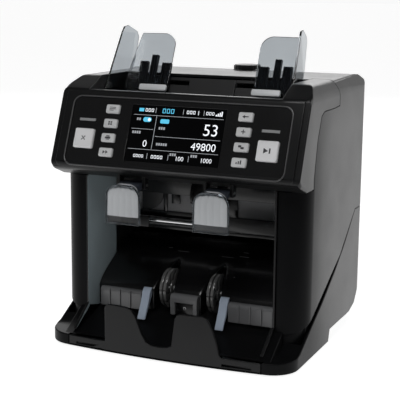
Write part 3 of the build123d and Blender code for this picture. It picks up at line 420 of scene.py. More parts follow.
def on_chamfer(middle, direction):
    """Whether an edge is one of the long edges of the top chamfer."""
    x, z = abs(middle.x), middle.z
    lower = abs(x - HALF_W) < NEAR and abs(z - TOP_EDGE_Z) < NEARLY
    upper = abs(x - TOP_HALF) < NEAR and abs(z - TOP_Z) < NEARLY
    return abs(direction.y) > ALONG and (lower or upper)


def housing_radius(middle, direction, length):
    """Rule for soften: soft outer corners of the housing, crisp seams."""
    if middle.y > REAR_CORNER_Y and middle.z > REAR_CORNER_Z and length < SHORT_EDGE:
        return 0.0
    if on_chamfer(middle, direction):
        return CHAMFER_R
    if abs(middle.x) > TOP_HALF and abs(middle.y - PILLAR_Y) < NEAR and abs(direction.z) > ALONG:
        return PILLAR_R
    return SEAM_R


def head_radius(middle, direction, length):
    """Rule for soften: broad soft edges round the console, small ones at seams and openings."""
    y, z = middle.y, middle.z
    if on_chamfer(middle, direction):
        return CHAMFER_R
    across = abs(direction.x) > ACROSS
    at_side = abs(middle.x) > TOP_HALF - NEARLY
    if across and abs(z - RIDGE_Z) < RIDGE_NEAR and abs(y - RIDGE_Y) < RIDGE_NEAR:
        return RIDGE_R
    if across and abs(z - TOP_Z) < NEAR and abs(y - HEAD_TOP_Y) < NEARLY:
        return RIDGE_R
    if at_side and y < HEAD_LOWER_Y and z < HEAD_LOWER_Z:
        return HEAD_CORNER_R
    if at_side and y < HEAD_SIDE_Y:
        return HEAD_SIDE_R
    if across and y < HEAD_FRONT_Y and z < HEAD_LOWER_Z - NEARLY:
        return HEAD_FRONT_R
    return SEAM_R


# node, rule for its edge radius, segments of the rounding, and a material of its own
MOULDINGS = [
    ("side_cover_left", housing_radius, 4, HOUSING_FRONT),
    ("side_cover_right", housing_radius, 4, HOUSING_FRONT),
    ("head_cover", head_radius, 4, HEAD_FRONT),
    ("top_cover", housing_radius, 4, None),
    ("base_tray", even(1.2), 3, BASE_FRONT),
    ("front_stop_plate", even(0.9), 3, PLATE_FRONT),
    ("console_panel", even(0.5), 3, None),
    ("tray_lips", even(0.8), 3, None),
    ("nose_sensor", even(0.8), 3, None),
    ("stacker_skis", even(0.9), 3, None),
    ("pocket_liners", even(0.3), 3, None),
    ("hopper_back_plate", even(0.5), 3, PLATE_DARK),
    ("hopper_floor", even(0.5), 3, None),
    ("rear_frame", even(0.4), 3, None),
    ("rear_door", even(0.5), 3, None),
    ("note_guide_left", even(0.6), 3, None),
    ("guide_comb_left", even(0.25), 2, None),
    ("note_guide_right", even(0.6), 3, None),
    ("guide_comb_right", even(0.25), 2, None),
    ("thickness_knob", even(0.4), 3, None),
    ("feet", even(0.6), 3, None),
]
mouldings = {}
for node_name, radius_rule, segments, surface in MOULDINGS:
    mouldings[node_name] = soften(node_name, radius_rule, segments)
    if surface is not None:
        dress(mouldings[node_name], surface)

liners = mouldings["pocket_liners"].data
liners.materials.append(MATERIALS["housing"])
for polygon in liners.polygons:
    inward = polygon.normal.x * (1 if polygon.center.x < 0 else -1)
    if inward < TINTED_SIDE:
        polygon.material_index = 1


# ---- console: keys with icons, and the bead round the panel, its light grey a painted highlight -----
PANEL_TILT = radians(22.0)
PANEL_CENTRE = Vector((0.0, -87.0, 208.5))
PANEL_V = Vector((0.0, sin(PANEL_TILT), cos(PANEL_TILT)))
PANEL_OUT = Vector((0.0, -cos(PANEL_TILT), sin(PANEL_TILT)))


def on_panel(u, v, height=0.0, centre=(0.0, 0.0)):
    """Point on the console: u to the right, v up the slope, height out of it, all in mm."""
    return PANEL_CENTRE + Vector((u + centre[0], 0, 0)) + PANEL_V * (v + centre[1]) + PANEL_OUT * height


def panel_place(centre=(0.0, 0.0), lift=0.0):
    """Plane on the console about a centre, lifted off the panel."""
    return lambda a, b, height: on_panel(a, b, height + lift, centre)


def bar(x0, y0, x1, y1):
    """Rectangle outline between two corners."""
    return [(x0, y0), (x1, y0), (x1, y1), (x0, y1)]


def stroke(x0, y0, x1, y1, width=0.8):
    """Outline of a straight stroke."""
    along = Vector((x1 - x0, y1 - y0)).normalized() * (width / 2)
    side = Vector((-along.y, along.x))
    return [(x0 - side.x, y0 - side.y), (x1 - side.x, y1 - side.y), (x1 + side.x, y1 + side.y),
            (x0 + side.x, y0 + side.y)]


# generic icons, each a few outlines about the middle of its key
ICONS = {
    "key_left_1": [bar(-3.2, 1.1, 3.2, 1.7), bar(-3.2, -0.3, 3.2, 0.3), bar(-3.2, -1.7, 1.2, -1.1)],
    "key_left_2": [bar(-2.0, 0.3, -0.4, 1.8), bar(0.4, 0.3, 2.0, 1.8),
                   bar(-2.0, -1.8, -0.4, -0.3), bar(0.4, -1.8, 2.0, -0.3)],
    "key_left_3": [bar(-2.8, -1.0, 2.8, 0.7), bar(-1.7, 1.0, 1.7, 2.0), bar(-1.7, -2.0, 1.7, -1.3)],
    "key_left_4": [[(-2.6, -1.7), (-0.1, 0), (-2.6, 1.7)], [(0.3, -1.7), (2.8, 0), (0.3, 1.7)]],
    "key_right_1": [[(-3.0, 0), (-0.6, 1.7), (-0.6, -1.7)], bar(-0.6, -0.4, 3.0, 0.4)],
    "key_right_2": [bar(-2.0, -0.4, 2.0, 0.4), bar(-0.4, -2.0, 0.4, -0.4), bar(-0.4, 0.4, 0.4, 2.0)],
    "key_right_3": [rounded_rect(3.0, 2.0, 0.5, (-1.2, 0.6), 3),
                    rounded_rect(3.0, 2.0, 0.5, (1.4, -0.9), 3)],
    "key_right_4": [bar(-2.6, -1.8, -1.4, 0.0), bar(-0.6, -1.8, 0.6, 1.0), bar(1.4, -1.8, 2.6, 1.9)],
    "key_cancel": [stroke(-1.9, -1.9, 1.9, 1.9), stroke(-1.9, 1.9, -0.5, 0.5), stroke(0.5, -0.5, 1.9, -1.9)],
    "key_start": [[(-3.4, -2.5), (1.0, 0.0), (-3.4, 2.5)], bar(1.9, -2.4, 3.2, 2.4)],
}
KEY_COLUMN_X = 67.3
KEY_PITCH = 14.06
KEY_ROWS = 4
BIG_KEY_X = 92.7
BIG_KEY_V = -9.0
SMALL_KEY = (14.2, 8.6, 2.2)       # width, height and rise above the panel
BIG_KEY = (20.0, 19.0, 3.0)
KEY_DEPTH = 4.6                    # how far a cap goes down into the panel
KEY_CORNER = 1.5
KEY_CROWN = [(0.0, 1.1, KEY_CORNER), (0.25, 0.55, 1.4), (0.9, 0.1, 1.1), (1.15, 0.0, 1.0),
             (1.5, 0.0, 0.9), (1.9, 0.12, 0.8)]   # inset, depth below the top and corner radius
MARK_SINK = 0.14                   # an icon starts this far below the top of its dished cap
MARK_T = 0.08
for key_name, icon in ICONS.items():
    small = key_name[-1].isdigit()
    side = -1 if "left" in key_name or "cancel" in key_name else 1
    if small:
        centre = (side * KEY_COLUMN_X, KEY_PITCH * ((KEY_ROWS + 1) / 2 - int(key_name[-1])))
    else:
        centre = (side * BIG_KEY_X, BIG_KEY_V)
    width, height, rise = SMALL_KEY if small else BIG_KEY
    rings = [(0.0, -KEY_DEPTH, KEY_CORNER)]
    rings += [(inset, rise - drop, corner) for inset, drop, corner in KEY_CROWN]
    cap = bmesh.new()
    from_outlines(cap, [[on_panel(a, b, level, centre) for a, b in
                         rounded_rect(width - 2 * inset, height - 2 * inset, corner)]
                        for inset, level, corner in rings])
    surface = MATERIALS["key_silver"] if small else KEY_BRIGHT
    piece(key_name + "_cap", cap, surface, BODY_OF[key_name], (key_name,), 50.0)
    mark = bmesh.new()
    for shape in icon:
        prism(mark, shape, panel_place(centre, rise - MARK_SINK), MARK_T)
    piece(key_name + "_mark", mark, LEGEND, BODY_OF[key_name])

BEAD_SIZE = (223.4, 69.4)
BEAD_CORNER = 9.2
BEAD_W = 1.3
BEAD_CENTRE = (0.0, -1.1)
BEAD_LIFT, BEAD_T, BEAD_ROUND = -0.6, 1.3, 0.55
bead = bmesh.new()
frame_ring(bead, rounded_rect(*BEAD_SIZE, BEAD_CORNER, BEAD_CENTRE, 10),
           rounded_rect(*[size - 2 * BEAD_W for size in BEAD_SIZE], BEAD_CORNER - 1.1, BEAD_CENTRE, 10),
           panel_place(lift=BEAD_LIFT), BEAD_T, BEAD_ROUND)
# the bead's light grey paints the highlight on the recess edge
piece("console_bead", bead, BEAD_PAINTED_HIGHLIGHT, "machine")

# ---- display page, in mm about the middle of the glass ------------------------------------------------
SCREEN_LIFT = -0.6        # the glass lies this far below the panel
GLYPH_T = 0.05
DOT_PITCH, DOT_W, DOT_H = 2.3, 1.7, 2.4
SIGNAL_X, SIGNAL_PITCH, SIGNAL_W, SIGNAL_V = 37.2, 1.8, 1.2, 20.4
SIGNAL_HEIGHTS = (1.6, 2.6, 3.6, 4.6)
TOGGLE = rounded_rect(8.4, 4.4, 2.1, (-30.6, 13.4))
TOGGLE_DOT = circle_outline(1.5, (-28.6, 13.4), 16)
TOGGLE_DOT_LIFT = 0.08
CHIP = rounded_rect(9.0, 4.0, 1.0, (-12.5, 12.6))
BADGE = bar(-40.6, 21.0, -35.6, 24.2)
BLUE_WORD = (-16.4, 20.4, 3, 4.4)
TICK_W = 0.5
TOP_TICK_SPAN = (20.2, 25.0)
LOW_TICK_SPAN = (-24.0, -18.6)
# digits, their size, right edge and baseline
NUMBERS = [("53", 15.5, 42.5, 1.6), ("49800", 10.0, 42.5, -12.6), ("0", 9.0, -27.0, -12.6),
           ("100", 5.8, 12.5, -23.6), ("1000", 5.8, 40.5, -23.6), ("1", 6.0, 21.5, 20.4)]
# left end, baseline, count and height of the hollow marks that stand for a word
WORDS = [(-34.0, 21.0, 3, 3.2), (8.2, 21.0, 3, 3.2), (27.6, 21.0, 3, 3.0), (-38.8, -23.0, 4, 2.8),
         (-20.6, -23.2, 4, 3.2)]
# left end, baseline and count of the small blocks that stand for a caption
CAPTIONS = [(-41.5, 12.4, 2), (-44.0, -0.4, 4), (-17.5, 4.6, 3), (-17.5, -10.6, 5), (-2.0, -19.4, 3),
            (19.0, -19.4, 3)]
TOP_TICKS = (-23.5, 4.5, 25.2)
LOW_TICKS = (-25.0, -3.5, 17.0)
RULES = [bar(-21.8, -14.5, -21.3, 17.5), bar(-45.5, 17.5, 45.5, 17.9), bar(-45.5, -15.4, 45.5, -15.0),
         bar(-45.5, 4.0, -23.0, 4.4), bar(-20.0, -2.4, 45.5, -2.0)]


def screen_place(a, b, height):
    """Plane on the glass of the display."""
    return on_panel(a, b, height + SCREEN_LIFT)


def digits(edit, text, size, right_u, low_v):
    """Digits on the display, set by their right edge and baseline."""
    curve = bpy.data.curves.new("digits", "FONT")
    curve.body = text
    curve.size = size
    curve.align_x = "RIGHT"
    curve.offset = size * -0.004
    curve.extrude = GLYPH_T / 2
    holder = bpy.data.objects.new("digits", curve)
    scene.collection.objects.link(holder)
    graph = bpy.context.evaluated_depsgraph_get()
    mesh = bpy.data.meshes.new_from_object(holder.evaluated_get(graph))
    for vertex in mesh.vertices:
        x, y, z = vertex.co
        vertex.co = Vector(screen_place(right_u + x, low_v + y, z + GLYPH_T / 2)) * MM
    edit.from_mesh(mesh)
    bpy.data.objects.remove(holder)
    bpy.data.meshes.remove(mesh)


def mark_row(edit, u, v, count, tall):
    """Row of small hollow marks that stands for a word on the display."""
    wide = tall * 0.72
    stem = tall * 0.15
    pitch = wide * 1.35
    for i in range(count):
        middle = (u + wide / 2 + i * pitch, v + tall / 2)
        frame_ring(edit, rounded_rect(wide, tall, 0.4, middle, 2),
                   rounded_rect(wide - 2 * stem, tall - 2 * stem, 0.2, middle, 2), screen_place, GLYPH_T)


white = bmesh.new()
for text, size, right_u, low_v in NUMBERS:
    digits(white, text, size, right_u, low_v)
for step, tall in enumerate(SIGNAL_HEIGHTS):
    u = SIGNAL_X + step * SIGNAL_PITCH
    prism(white, bar(u, SIGNAL_V, u + SIGNAL_W, SIGNAL_V + tall), screen_place, GLYPH_T)
for word in WORDS:
    mark_row(white, *word)
prism(white, TOGGLE_DOT, lambda a, b, height: screen_place(a, b, height + TOGGLE_DOT_LIFT), GLYPH_T)
piece("screen_numbers", white, PIXEL_WHITE, "machine")

grey = bmesh.new()
for ticks, (low, top) in ((TOP_TICKS, TOP_TICK_SPAN), (LOW_TICKS, LOW_TICK_SPAN)):
    for u in ticks:
        prism(grey, bar(u, low, u + TICK_W, top), screen_place, GLYPH_T)
for rule in RULES:
    prism(grey, rule, screen_place, GLYPH_T)
for u, v, count in CAPTIONS:
    for dot in range(count):
        dot_u = u + dot * DOT_PITCH
        prism(grey, bar(dot_u, v, dot_u + DOT_W, v + DOT_H), screen_place, GLYPH_T)
piece("screen_lines", grey, PIXEL_GREY, "machine")

cyan = bmesh.new()
for outline in (TOGGLE, CHIP, BADGE):
    prism(cyan, outline, screen_place, GLYPH_T)
mark_row(cyan, *BLUE_WORD)
piece("screen_chips", cyan, PIXEL_CYAN, "machine")

# ---- reject flaps: ribbed frosted leaf in a clear carrier with a rim -------------------------------
FLAP_X = 44.5
LEAF_LOW, LEAF_BEND, LEAF_TOP = 131.6, 150.0, 161.6
LEAF_FRONT = -106.4
LEAF_T = 2.0
LEAF_HALF_LOW, LEAF_HALF_HIGH = 16.3, 15.8
LEAF_CURL = 8.5           # how far the top leans back
LEAF_CROWN = 0.9
SCALLOPS = 5
SCALLOP_DEPTH = 0.5
LEAF_COLUMNS, LEAF_ROWS = 51, 30
ARCH_STEPS = 8
CARRIER_LOW, CARRIER_TOP, CARRIER_HALF = 124.0, 161.5, 17.5
CARRIER_CORNER = 12.0
CARRIER_Y, CARRIER_T = -103.0, 1.2
RIM_Y, RIM_T = -103.9, 2.5
FLAP_ARM = [(-103.2, 148), (-103.2, 157.5), (-95, 160.4), (-87, 161.6), (-84, 162.4), (-81.6, 161.4),
            (-80.5, 159), (-81.6, 156.6), (-84, 155.6), (-90, 154.5)]   # side view, as (y, z)
FLAP_ARM_W = 22.0


def leaf_point(share, z, behind):
    """Point on the leaf: share runs -1 to 1 across it, behind is 0 on the front and 1 on the back."""
    half = LEAF_HALF_LOW - (LEAF_HALF_LOW - LEAF_HALF_HIGH) * (z - LEAF_LOW) / (LEAF_BEND - LEAF_LOW)
    y = LEAF_FRONT
    if z > LEAF_BEND:
        rise = (z - LEAF_BEND) / (LEAF_TOP + 0.35 - LEAF_BEND)
        half = LEAF_HALF_HIGH * max(0.0, 1 - rise ** 2.7) ** 0.5
        y += LEAF_CURL * (1 - max(0.0, 1 - (0.93 * rise) ** 2) ** 0.5)
    sink = LEAF_CROWN * share * share
    scallop = SCALLOP_DEPTH * abs(sin(pi * SCALLOPS * (share + 1) / 2)) ** 0.6
    return half * share, y + sink + SCALLOP_DEPTH - scallop * (1 - behind) + behind * LEAF_T, z


def leaf_mesh(centre):
    """Front and back sheets of a leaf and the strip round its rim."""
    leaf = bmesh.new()
    middle = Vector((centre, 0.0, 0.0))
    turns = [pi / 2 * row / (LEAF_ROWS - 1) for row in range(LEAF_ROWS)]
    heights = [LEAF_LOW + (LEAF_TOP - LEAF_LOW) * sin(turn) for turn in turns]
    shares = [2 * column / (LEAF_COLUMNS - 1) - 1 for column in range(LEAF_COLUMNS)]
    sheets = []
    for behind in (0, 1):
        points = [[Vector(leaf_point(share, z, behind)) for share in shares] for z in heights]
        sheets.append([[leaf.verts.new((middle + point) * MM) for point in row] for row in points])
    for sheet in sheets:
        for low, high in zip(sheet[:-1], sheet[1:]):
            for i in range(LEAF_COLUMNS - 1):
                leaf.faces.new((low[i], low[i + 1], high[i + 1], high[i]))
    last_row, last_column = LEAF_ROWS - 1, LEAF_COLUMNS - 1
    rim = [[(row, column) for row in range(LEAF_ROWS)] for column in (0, last_column)]
    rim += [[(row, column) for column in range(LEAF_COLUMNS)] for row in (0, last_row)]
    front, rear = sheets
    for line in rim:
        for (r0, c0), (r1, c1) in zip(line[:-1], line[1:]):
            leaf.faces.new((front[r0][c0], front[r1][c1], rear[r1][c1], rear[r0][c0]))
    return leaf


def arch(centre, side_inset, end_inset, radius):
    """Outline of the carrier, inset by some mm: square feet and rounded upper corners."""
    half, low, top = CARRIER_HALF - side_inset, CARRIER_LOW + end_inset, CARRIER_TOP - end_inset
    turns = [pi / 2 * step / ARCH_STEPS for step in range(ARCH_STEPS + 1)]
    points = [(centre + half, low)]
    points += [(centre + half - radius + radius * cos(t), top - radius + radius * sin(t)) for t in turns]
    points += [(centre - half + radius - radius * sin(t), top - radius + radius * cos(t)) for t in turns]
    return points + [(centre - half, low)]


def flap_pieces(word, centre):
    """Leaf, carrier and hinge arm of one flap."""
    body = "flap_" + word
    piece(body + "_leaf", leaf_mesh(centre), MATERIALS["flap_frost"], body,
          ("reject_flap_" + word,), 60.0)
    carrier = bmesh.new()
    prism(carrier, arch(centre, 0.1, 0.1, CARRIER_CORNER), facing_front(CARRIER_Y), CARRIER_T, 0.3)
    frame_ring(carrier, arch(centre, 0.0, 0.0, CARRIER_CORNER), arch(centre, 0.8, 0.9, CARRIER_CORNER - 0.6),
               facing_front(RIM_Y), RIM_T, 0.3)
    piece(body + "_carrier", carrier, CLEAR, body)
    arm = bmesh.new()
    prism(arm, FLAP_ARM, facing_side(centre - FLAP_ARM_W / 2), FLAP_ARM_W, 0.6)
    piece(body + "_arm", arm, MATERIALS["comb_dark"], body)


flap_pieces("left", -FLAP_X)
flap_pieces("right", FLAP_X)

# ---- reject pocket: grey back plate seen through a dark mask with painted shade, guide arms, shaft covers ---
POCKET_HALF = 96.0
BACK_LOW, BACK_TOP = 99.0, 158.0
BACK_Y = 0.4              # rear face of the plate
BACK_T = 1.9
SHELF_LOW, SHELF_DEPTH = 155.6, 13.4   # the plate's upper edge is bent forward
MASK_Y = -1.6
MASK_T = 1.6
SILL_Z, LINTEL_Z = 117.5, 135.5    # lower and upper edge of the row of windows
# first box: a dark band across the top that paints the shade under the head; the others are the dark bars
# and posts between the windows
MASK_AND_SHADE_BOXES = [(-POCKET_HALF, LINTEL_Z, POCKET_HALF, 155.4), (-POCKET_HALF, 111, POCKET_HALF, SILL_Z),
              (-51.2, SILL_Z, -47, LINTEL_Z), (-42.2, 126, -32.9, 136), (18, SILL_Z, 30, LINTEL_Z),
              (-POCKET_HALF, BACK_LOW, POCKET_HALF, 102), (-14, 102, 32, 111)]
ARCH_FOOT_X = -67.0       # the arched window left of the middle starts here
ARCH_W, ARCH_H, ARCH_T = 15.8, 18.0, 1.9
GUIDE_ARM = [(-2, 154), (-12, 154), (-18, 140), (-18, 132), (-8, 127), (-2, 127)]   # as (y, z)
GUIDE_ARM_X, GUIDE_ARM_T = 14.0, 3.2
SHAFT_COVERS = [(72, 14.2, (59.6, 114.4)), (37, 10.8, (-77.2, 109.1))]   # width, height and middle
SHAFT_COVER_Y, SHAFT_COVER_T = -20.2, 1.8
ARROW = [(32.4, 107.4), (37.0, 107.4), (34.7, 102.6)]   # as (x, z)
ARROW_Y, ARROW_T = -3.2, 0.3

back = bmesh.new()
prism(back, bar(-POCKET_HALF, BACK_LOW, POCKET_HALF, BACK_TOP), facing_front(BACK_Y), BACK_T, 0.3)
prism(back, bar(BACK_Y - SHELF_DEPTH, SHELF_LOW, BACK_Y, BACK_TOP), facing_side(-POCKET_HALF),
      2 * POCKET_HALF, 0.3)
piece("reject_back", back, MATERIALS["plate_grey"], "machine", ("reject_back_plate",))

mask_and_shade = bmesh.new()
for box in MASK_AND_SHADE_BOXES:
    prism(mask_and_shade, bar(*box), facing_front(MASK_Y), MASK_T, 0.25)
turns = [pi / 2 * step / ARCH_STEPS for step in range(ARCH_STEPS + 1)]
arch_points = [(ARCH_FOOT_X + ARCH_W * sin(t), SILL_Z + ARCH_H * (1 - cos(t)) ** 0.8) for t in turns]
prism(mask_and_shade, [(-75, SILL_Z)] + arch_points + [(-51.2, 136), (-75, 136)], facing_front(MASK_Y), ARCH_T)
for arm_x in (-GUIDE_ARM_X, GUIDE_ARM_X):
    prism(mask_and_shade, GUIDE_ARM, facing_side(arm_x - GUIDE_ARM_T / 2), GUIDE_ARM_T, 0.4)
# the dark top band of this sheet is painted shade under the head
piece("reject_mask_and_shade", mask_and_shade, MATERIALS["tray_gloss"], "machine")

covers = bmesh.new()
for width, height, middle in SHAFT_COVERS:
    prism(covers, rounded_rect(width, height, 1.2, middle), facing_front(SHAFT_COVER_Y), SHAFT_COVER_T, 0.4)
piece("reject_shaft_covers", covers, MATERIALS["tray_gloss"], "machine")

arrow = bmesh.new()
prism(arrow, ARROW, facing_front(ARROW_Y), ARROW_T)
piece("reject_arrow", arrow, MATERIALS["key_silver"], "machine")

# ---- stacker: glossy slope with two V slots, the wheels that stand in them, painted glints and a lens ---
COVER_POINTS = [(17, 89), (2, 84), (-23, 72.5), (-44, 61), (-53.6, 53.7), (-57.1, 49.0), (-57.5, 45.0),
                (-57.5, 30)]      # the slope from the side, as (y, z)
COVER_HALF = 95.8
SLOT_X = 25.0
# left and right end of each part of the cover, and whether it folds down there into a slot
COVER_PARTS = [(-COVER_HALF, -SLOT_X, False, True), (-SLOT_X, SLOT_X, True, True),
               (SLOT_X, COVER_HALF, True, False)]
SLOT_APEX_Y = -21.0       # a slot starts in a point here
SLOT_LENGTH = 36.5        # and has its full width this much further forward
SLOT_HALF = 10.0
SLOT_FLARE = 0.62         # under 1, its sides bow outwards
SLOT_FOLD = [(0.0, 13.0), (0.0, 5.0), (0.0, 1.7), (0.45, 0.6), (1.4, 0.12), (2.8, 0.0)]   # inset, drop
FULL_FOLD_HALF = 3.5      # narrower stretches of a slot have a smaller fold
# left end, right end, y and width of the small raised grey marks that paint glints on the slope
SLOPE_GLINT_MARKS = [(-43.6, -39.0, -5.9, 0.7), (-31.9, -19.2, -9.3, 0.6), (16.6, 30.0, -10.3, 0.6),
               (34.7, 44.8, -7.5, 0.8), (24.6, 29.4, -23.5, 0.6), (40.0, 41.2, -35.4, 1.2),
               (36.4, 42.4, -1.3, 0.6)]
SLOPE_GLINT_T = 0.12


def smooth_path(points, steps=6):
    """Points on a Catmull-Rom curve through all the given points."""
    path = []
    ends = [points[0]] + points + [points[-1]]
    for a, b, c, d in zip(ends[:-3], ends[1:-2], ends[2:-1], ends[3:]):
        for step in range(steps):
            t = step / steps
            path.append(tuple(0.5 * (2 * q + (r - p) * t + (2 * p - 5 * q + 4 * r - s) * t ** 2
                                     + (3 * q - p - 3 * r + s) * t ** 3)
                              for p, q, r, s in zip(a, b, c, d)))
    return path + [points[-1]]


def cover_rows():
    """Points down the cover with their outward normals, as (y, z, normal y, normal z)."""
    path = smooth_path(COVER_POINTS)
    rows = []
    for i, (y, z) in enumerate(path):
        y0, z0 = path[max(0, i - 1)]
        y1, z1 = path[min(len(path) - 1, i + 1)]
        along = Vector((y1 - y0, z1 - z0)).normalized()
        rows.append((y, z, along.y, -along.x))
    return rows


COVER_ROWS = cover_rows()


def cover_line(left, right, fold_left, fold_right, row, inner=9):
    """One row of points of a part of the cover, folded down where it meets a slot."""
    y, z, ny, nz = row
    reach = min(1.0, max(0.0, (SLOT_APEX_Y - y) / SLOT_LENGTH))
    half = SLOT_HALF * reach ** SLOT_FLARE
    scale = min(1.0, half / FULL_FOLD_HALF)
    fold = [(inset * scale, drop * scale) for inset, drop in SLOT_FOLD]
    left += half if fold_left else 0
    right -= half if fold_right else 0
    line = [(left + inset, drop) for inset, drop in fold] if fold_left else [(left, 0.0)]
    start = line[-1][0]
    stop = right - (fold[-1][0] if fold_right else 0.0)
    line += [(start + (stop - start) * i / (inner + 1), 0.0) for i in range(1, inner + 1)]
    if fold_right:
        line += [(right - inset, drop) for inset, drop in reversed(fold)]
    else:
        line.append((right, 0.0))
    return [(x, y - ny * drop, z - nz * drop) for x, drop in line]


cover = bmesh.new()
for left, right, fold_left, fold_right in COVER_PARTS:
    sheet = []
    for row in COVER_ROWS:
        line = cover_line(left, right, fold_left, fold_right, row)
        sheet.append([cover.verts.new(Vector(point) * MM) for point in line])
    for high, low in zip(sheet[:-1], sheet[1:]):
        for i in range(len(high) - 1):
            cover.faces.new((high[i], low[i], low[i + 1], high[i + 1]))
bmesh.ops.remove_doubles(cover, verts=cover.verts, dist=0.01 * MM)
bmesh.ops.dissolve_degenerate(cover, edges=cover.edges, dist=0.005 * MM)
piece("stacker_slope", cover, MATERIALS["tray_gloss"], "machine", ("stacker_cover",), 50.0)


def on_cover(mark_y):
    """Plane that lies on the slope at a depth of the machine: a is X, b runs up the slope."""
    y, z, ny, nz = min(COVER_ROWS, key=lambda row: abs(row[0] - mark_y))
    z -= (mark_y - y) * ny / nz
    return lambda a, b, height: (a, mark_y + nz * b + ny * height, z - ny * b + nz * height)


# raised light grey marks: painted glints on the glossy slope
glint_marks = bmesh.new()
for x0, x1, mark_y, wide in SLOPE_GLINT_MARKS:
    prism(glint_marks, bar(x0, -wide / 2, x1, wide / 2), on_cover(mark_y), SLOPE_GLINT_T)
piece("slope_glint_marks", glint_marks, MATERIALS["lip_grey"], "machine")

WHEEL_CENTRE = (-40.0, 49.0)       # as (y, z)
WHEEL_BLADES = 10
WHEEL_R = 19.6
WHEEL_ROOT_R = 7.0
WHEEL_HUB_R = 9.0
WHEEL_HUB_W = 8.0
DISC_W = 2.9
DISC_STARTS = (-3.5, 0.6)          # the two discs of a wheel, from its middle
BLADE_SWEEP = 0.42                 # how far a vane's tip trails its root, in radians
SLIT_HALF = 0.35
SHAFT_R = 3.0
SHAFT_START, SHAFT_LENGTH = -105.0, 211.0


def about_wheel(x):
    """Plane across the stacker shaft: a and b are measured from its centre."""
    return lambda a, b, height: (x + height, WHEEL_CENTRE[0] + a, WHEEL_CENTRE[1] + b)


def blade_outline(turn, steps=8, rim_steps=6):
    """Broad curved vane from the hub to the rim, with a narrow slit before the next one."""
    sides = ([], [])
    for step in range(steps + 1):
        share = step / steps
        r = WHEEL_ROOT_R + (WHEEL_R - WHEEL_ROOT_R) * share
        angle = turn - BLADE_SWEEP * share ** 1.6
        half = pi / WHEEL_BLADES - SLIT_HALF / r
        sides[0].append((r * cos(angle - half), r * sin(angle - half)))
        sides[1].append((r * cos(angle + half), r * sin(angle + half)))
    turns = [angle - half + 2 * half * i / rim_steps for i in range(1, rim_steps)]
    return sides[0] + [(WHEEL_R * cos(t), WHEEL_R * sin(t)) for t in turns] + sides[1][::-1]


shaft = bmesh.new()
prism(shaft, circle_outline(SHAFT_R), about_wheel(SHAFT_START), SHAFT_LENGTH, 0.3)
piece("stacker_shaft", shaft, MATERIALS["steel"], "stacker", ("stacker_wheels",))
wheels = bmesh.new()
for middle in (-SLOT_X, SLOT_X):
    hub = circle_outline(WHEEL_HUB_R, count=32)
    prism(wheels, hub, about_wheel(middle - WHEEL_HUB_W / 2), WHEEL_HUB_W, 0.5)
    for disc in DISC_STARTS:
        for blade in range(WHEEL_BLADES):
            outline = blade_outline(2 * pi * blade / WHEEL_BLADES)
            prism(wheels, outline, about_wheel(middle + disc), DISC_W, 0.5)
piece("stacker_blades", wheels, WHEEL_GREY, "stacker", (), 40.0)

NOSE_LENS = (0.0, 36.5)            # middle of the sensor window, as (x, z)
NOSE_RECESS = rounded_rect(18.4, 13.6, 0.8, (0.0, 35.4))
NOSE_Y = -61.7                     # rear face of the plate round the window
recess = bmesh.new()
prism(recess, NOSE_RECESS, facing_front(NOSE_Y), 0.5, 0.1)
piece("nose_recess", recess, MATERIALS["tray_gloss"], "machine")
# light grey ring round the sensor lens: a painted glint
lens_glint_ring = bmesh.new()
prism(lens_glint_ring, circle_outline(1.5, NOSE_LENS, 20), facing_front(NOSE_Y - 0.3), 0.7, 0.25)
piece("nose_lens_glint", lens_glint_ring, MATERIALS["key_silver"], "machine")
lens_face = bmesh.new()
prism(lens_face, circle_outline(1.0, NOSE_LENS, 20), facing_front(NOSE_Y - 0.9), 0.3, 0.1)
piece("nose_glass", lens_face, MATERIALS["screen"], "machine")

# ---- guides: frosted foot in front of each wing --------------------------------------------------------
GUIDE_LEAN = radians(24.0)
GUIDE_PLACE = Vector((0.0, -6.0, 248.0))
GUIDE_OUT = Vector((0.0, -cos(GUIDE_LEAN), sin(GUIDE_LEAN)))
GUIDE_UP = Vector((0.0, sin(GUIDE_LEAN), cos(GUIDE_LEAN)))
GUIDE_FOOT_X, GUIDE_FOOT_V = 60.0, -6.0
GUIDE_FOOT_W, GUIDE_FOOT_H, GUIDE_FOOT_T = 29.6, 6.6, 3.9
GUIDE_FOOT_CORNER = 1.6


def guide_place(a, b, height):
    """Plane of the leaning guides: a is X, b goes up the lean, height comes forward."""
    return Vector((a, 0, 0)) + GUIDE_PLACE + GUIDE_UP * b + GUIDE_OUT * height


for word, side in (("left", -1), ("right", 1)):
    foot = bmesh.new()
    middle = (side * GUIDE_FOOT_X, GUIDE_FOOT_V)
    outline = rounded_rect(GUIDE_FOOT_W, GUIDE_FOOT_H, GUIDE_FOOT_CORNER, middle)
    prism(foot, outline, guide_place, GUIDE_FOOT_T, 0.9)
    piece("guide_foot_" + word, foot, FROST_EDGE, word + "_guide")

# ---- rail behind the hinge of the access door --------------------------------------------------------
RAIL_HALF = 98.5
RAIL_LOW, RAIL_TOP = 114.0, 131.0
RAIL_REAR_Y, RAIL_T = 110.8, 1.2
rail = bmesh.new()
prism(rail, bar(-RAIL_HALF, RAIL_LOW, RAIL_HALF, RAIL_TOP), facing_front(RAIL_REAR_Y), RAIL_T, 0.2)
piece("hinge_rail", rail, MATERIALS["housing"], "machine")

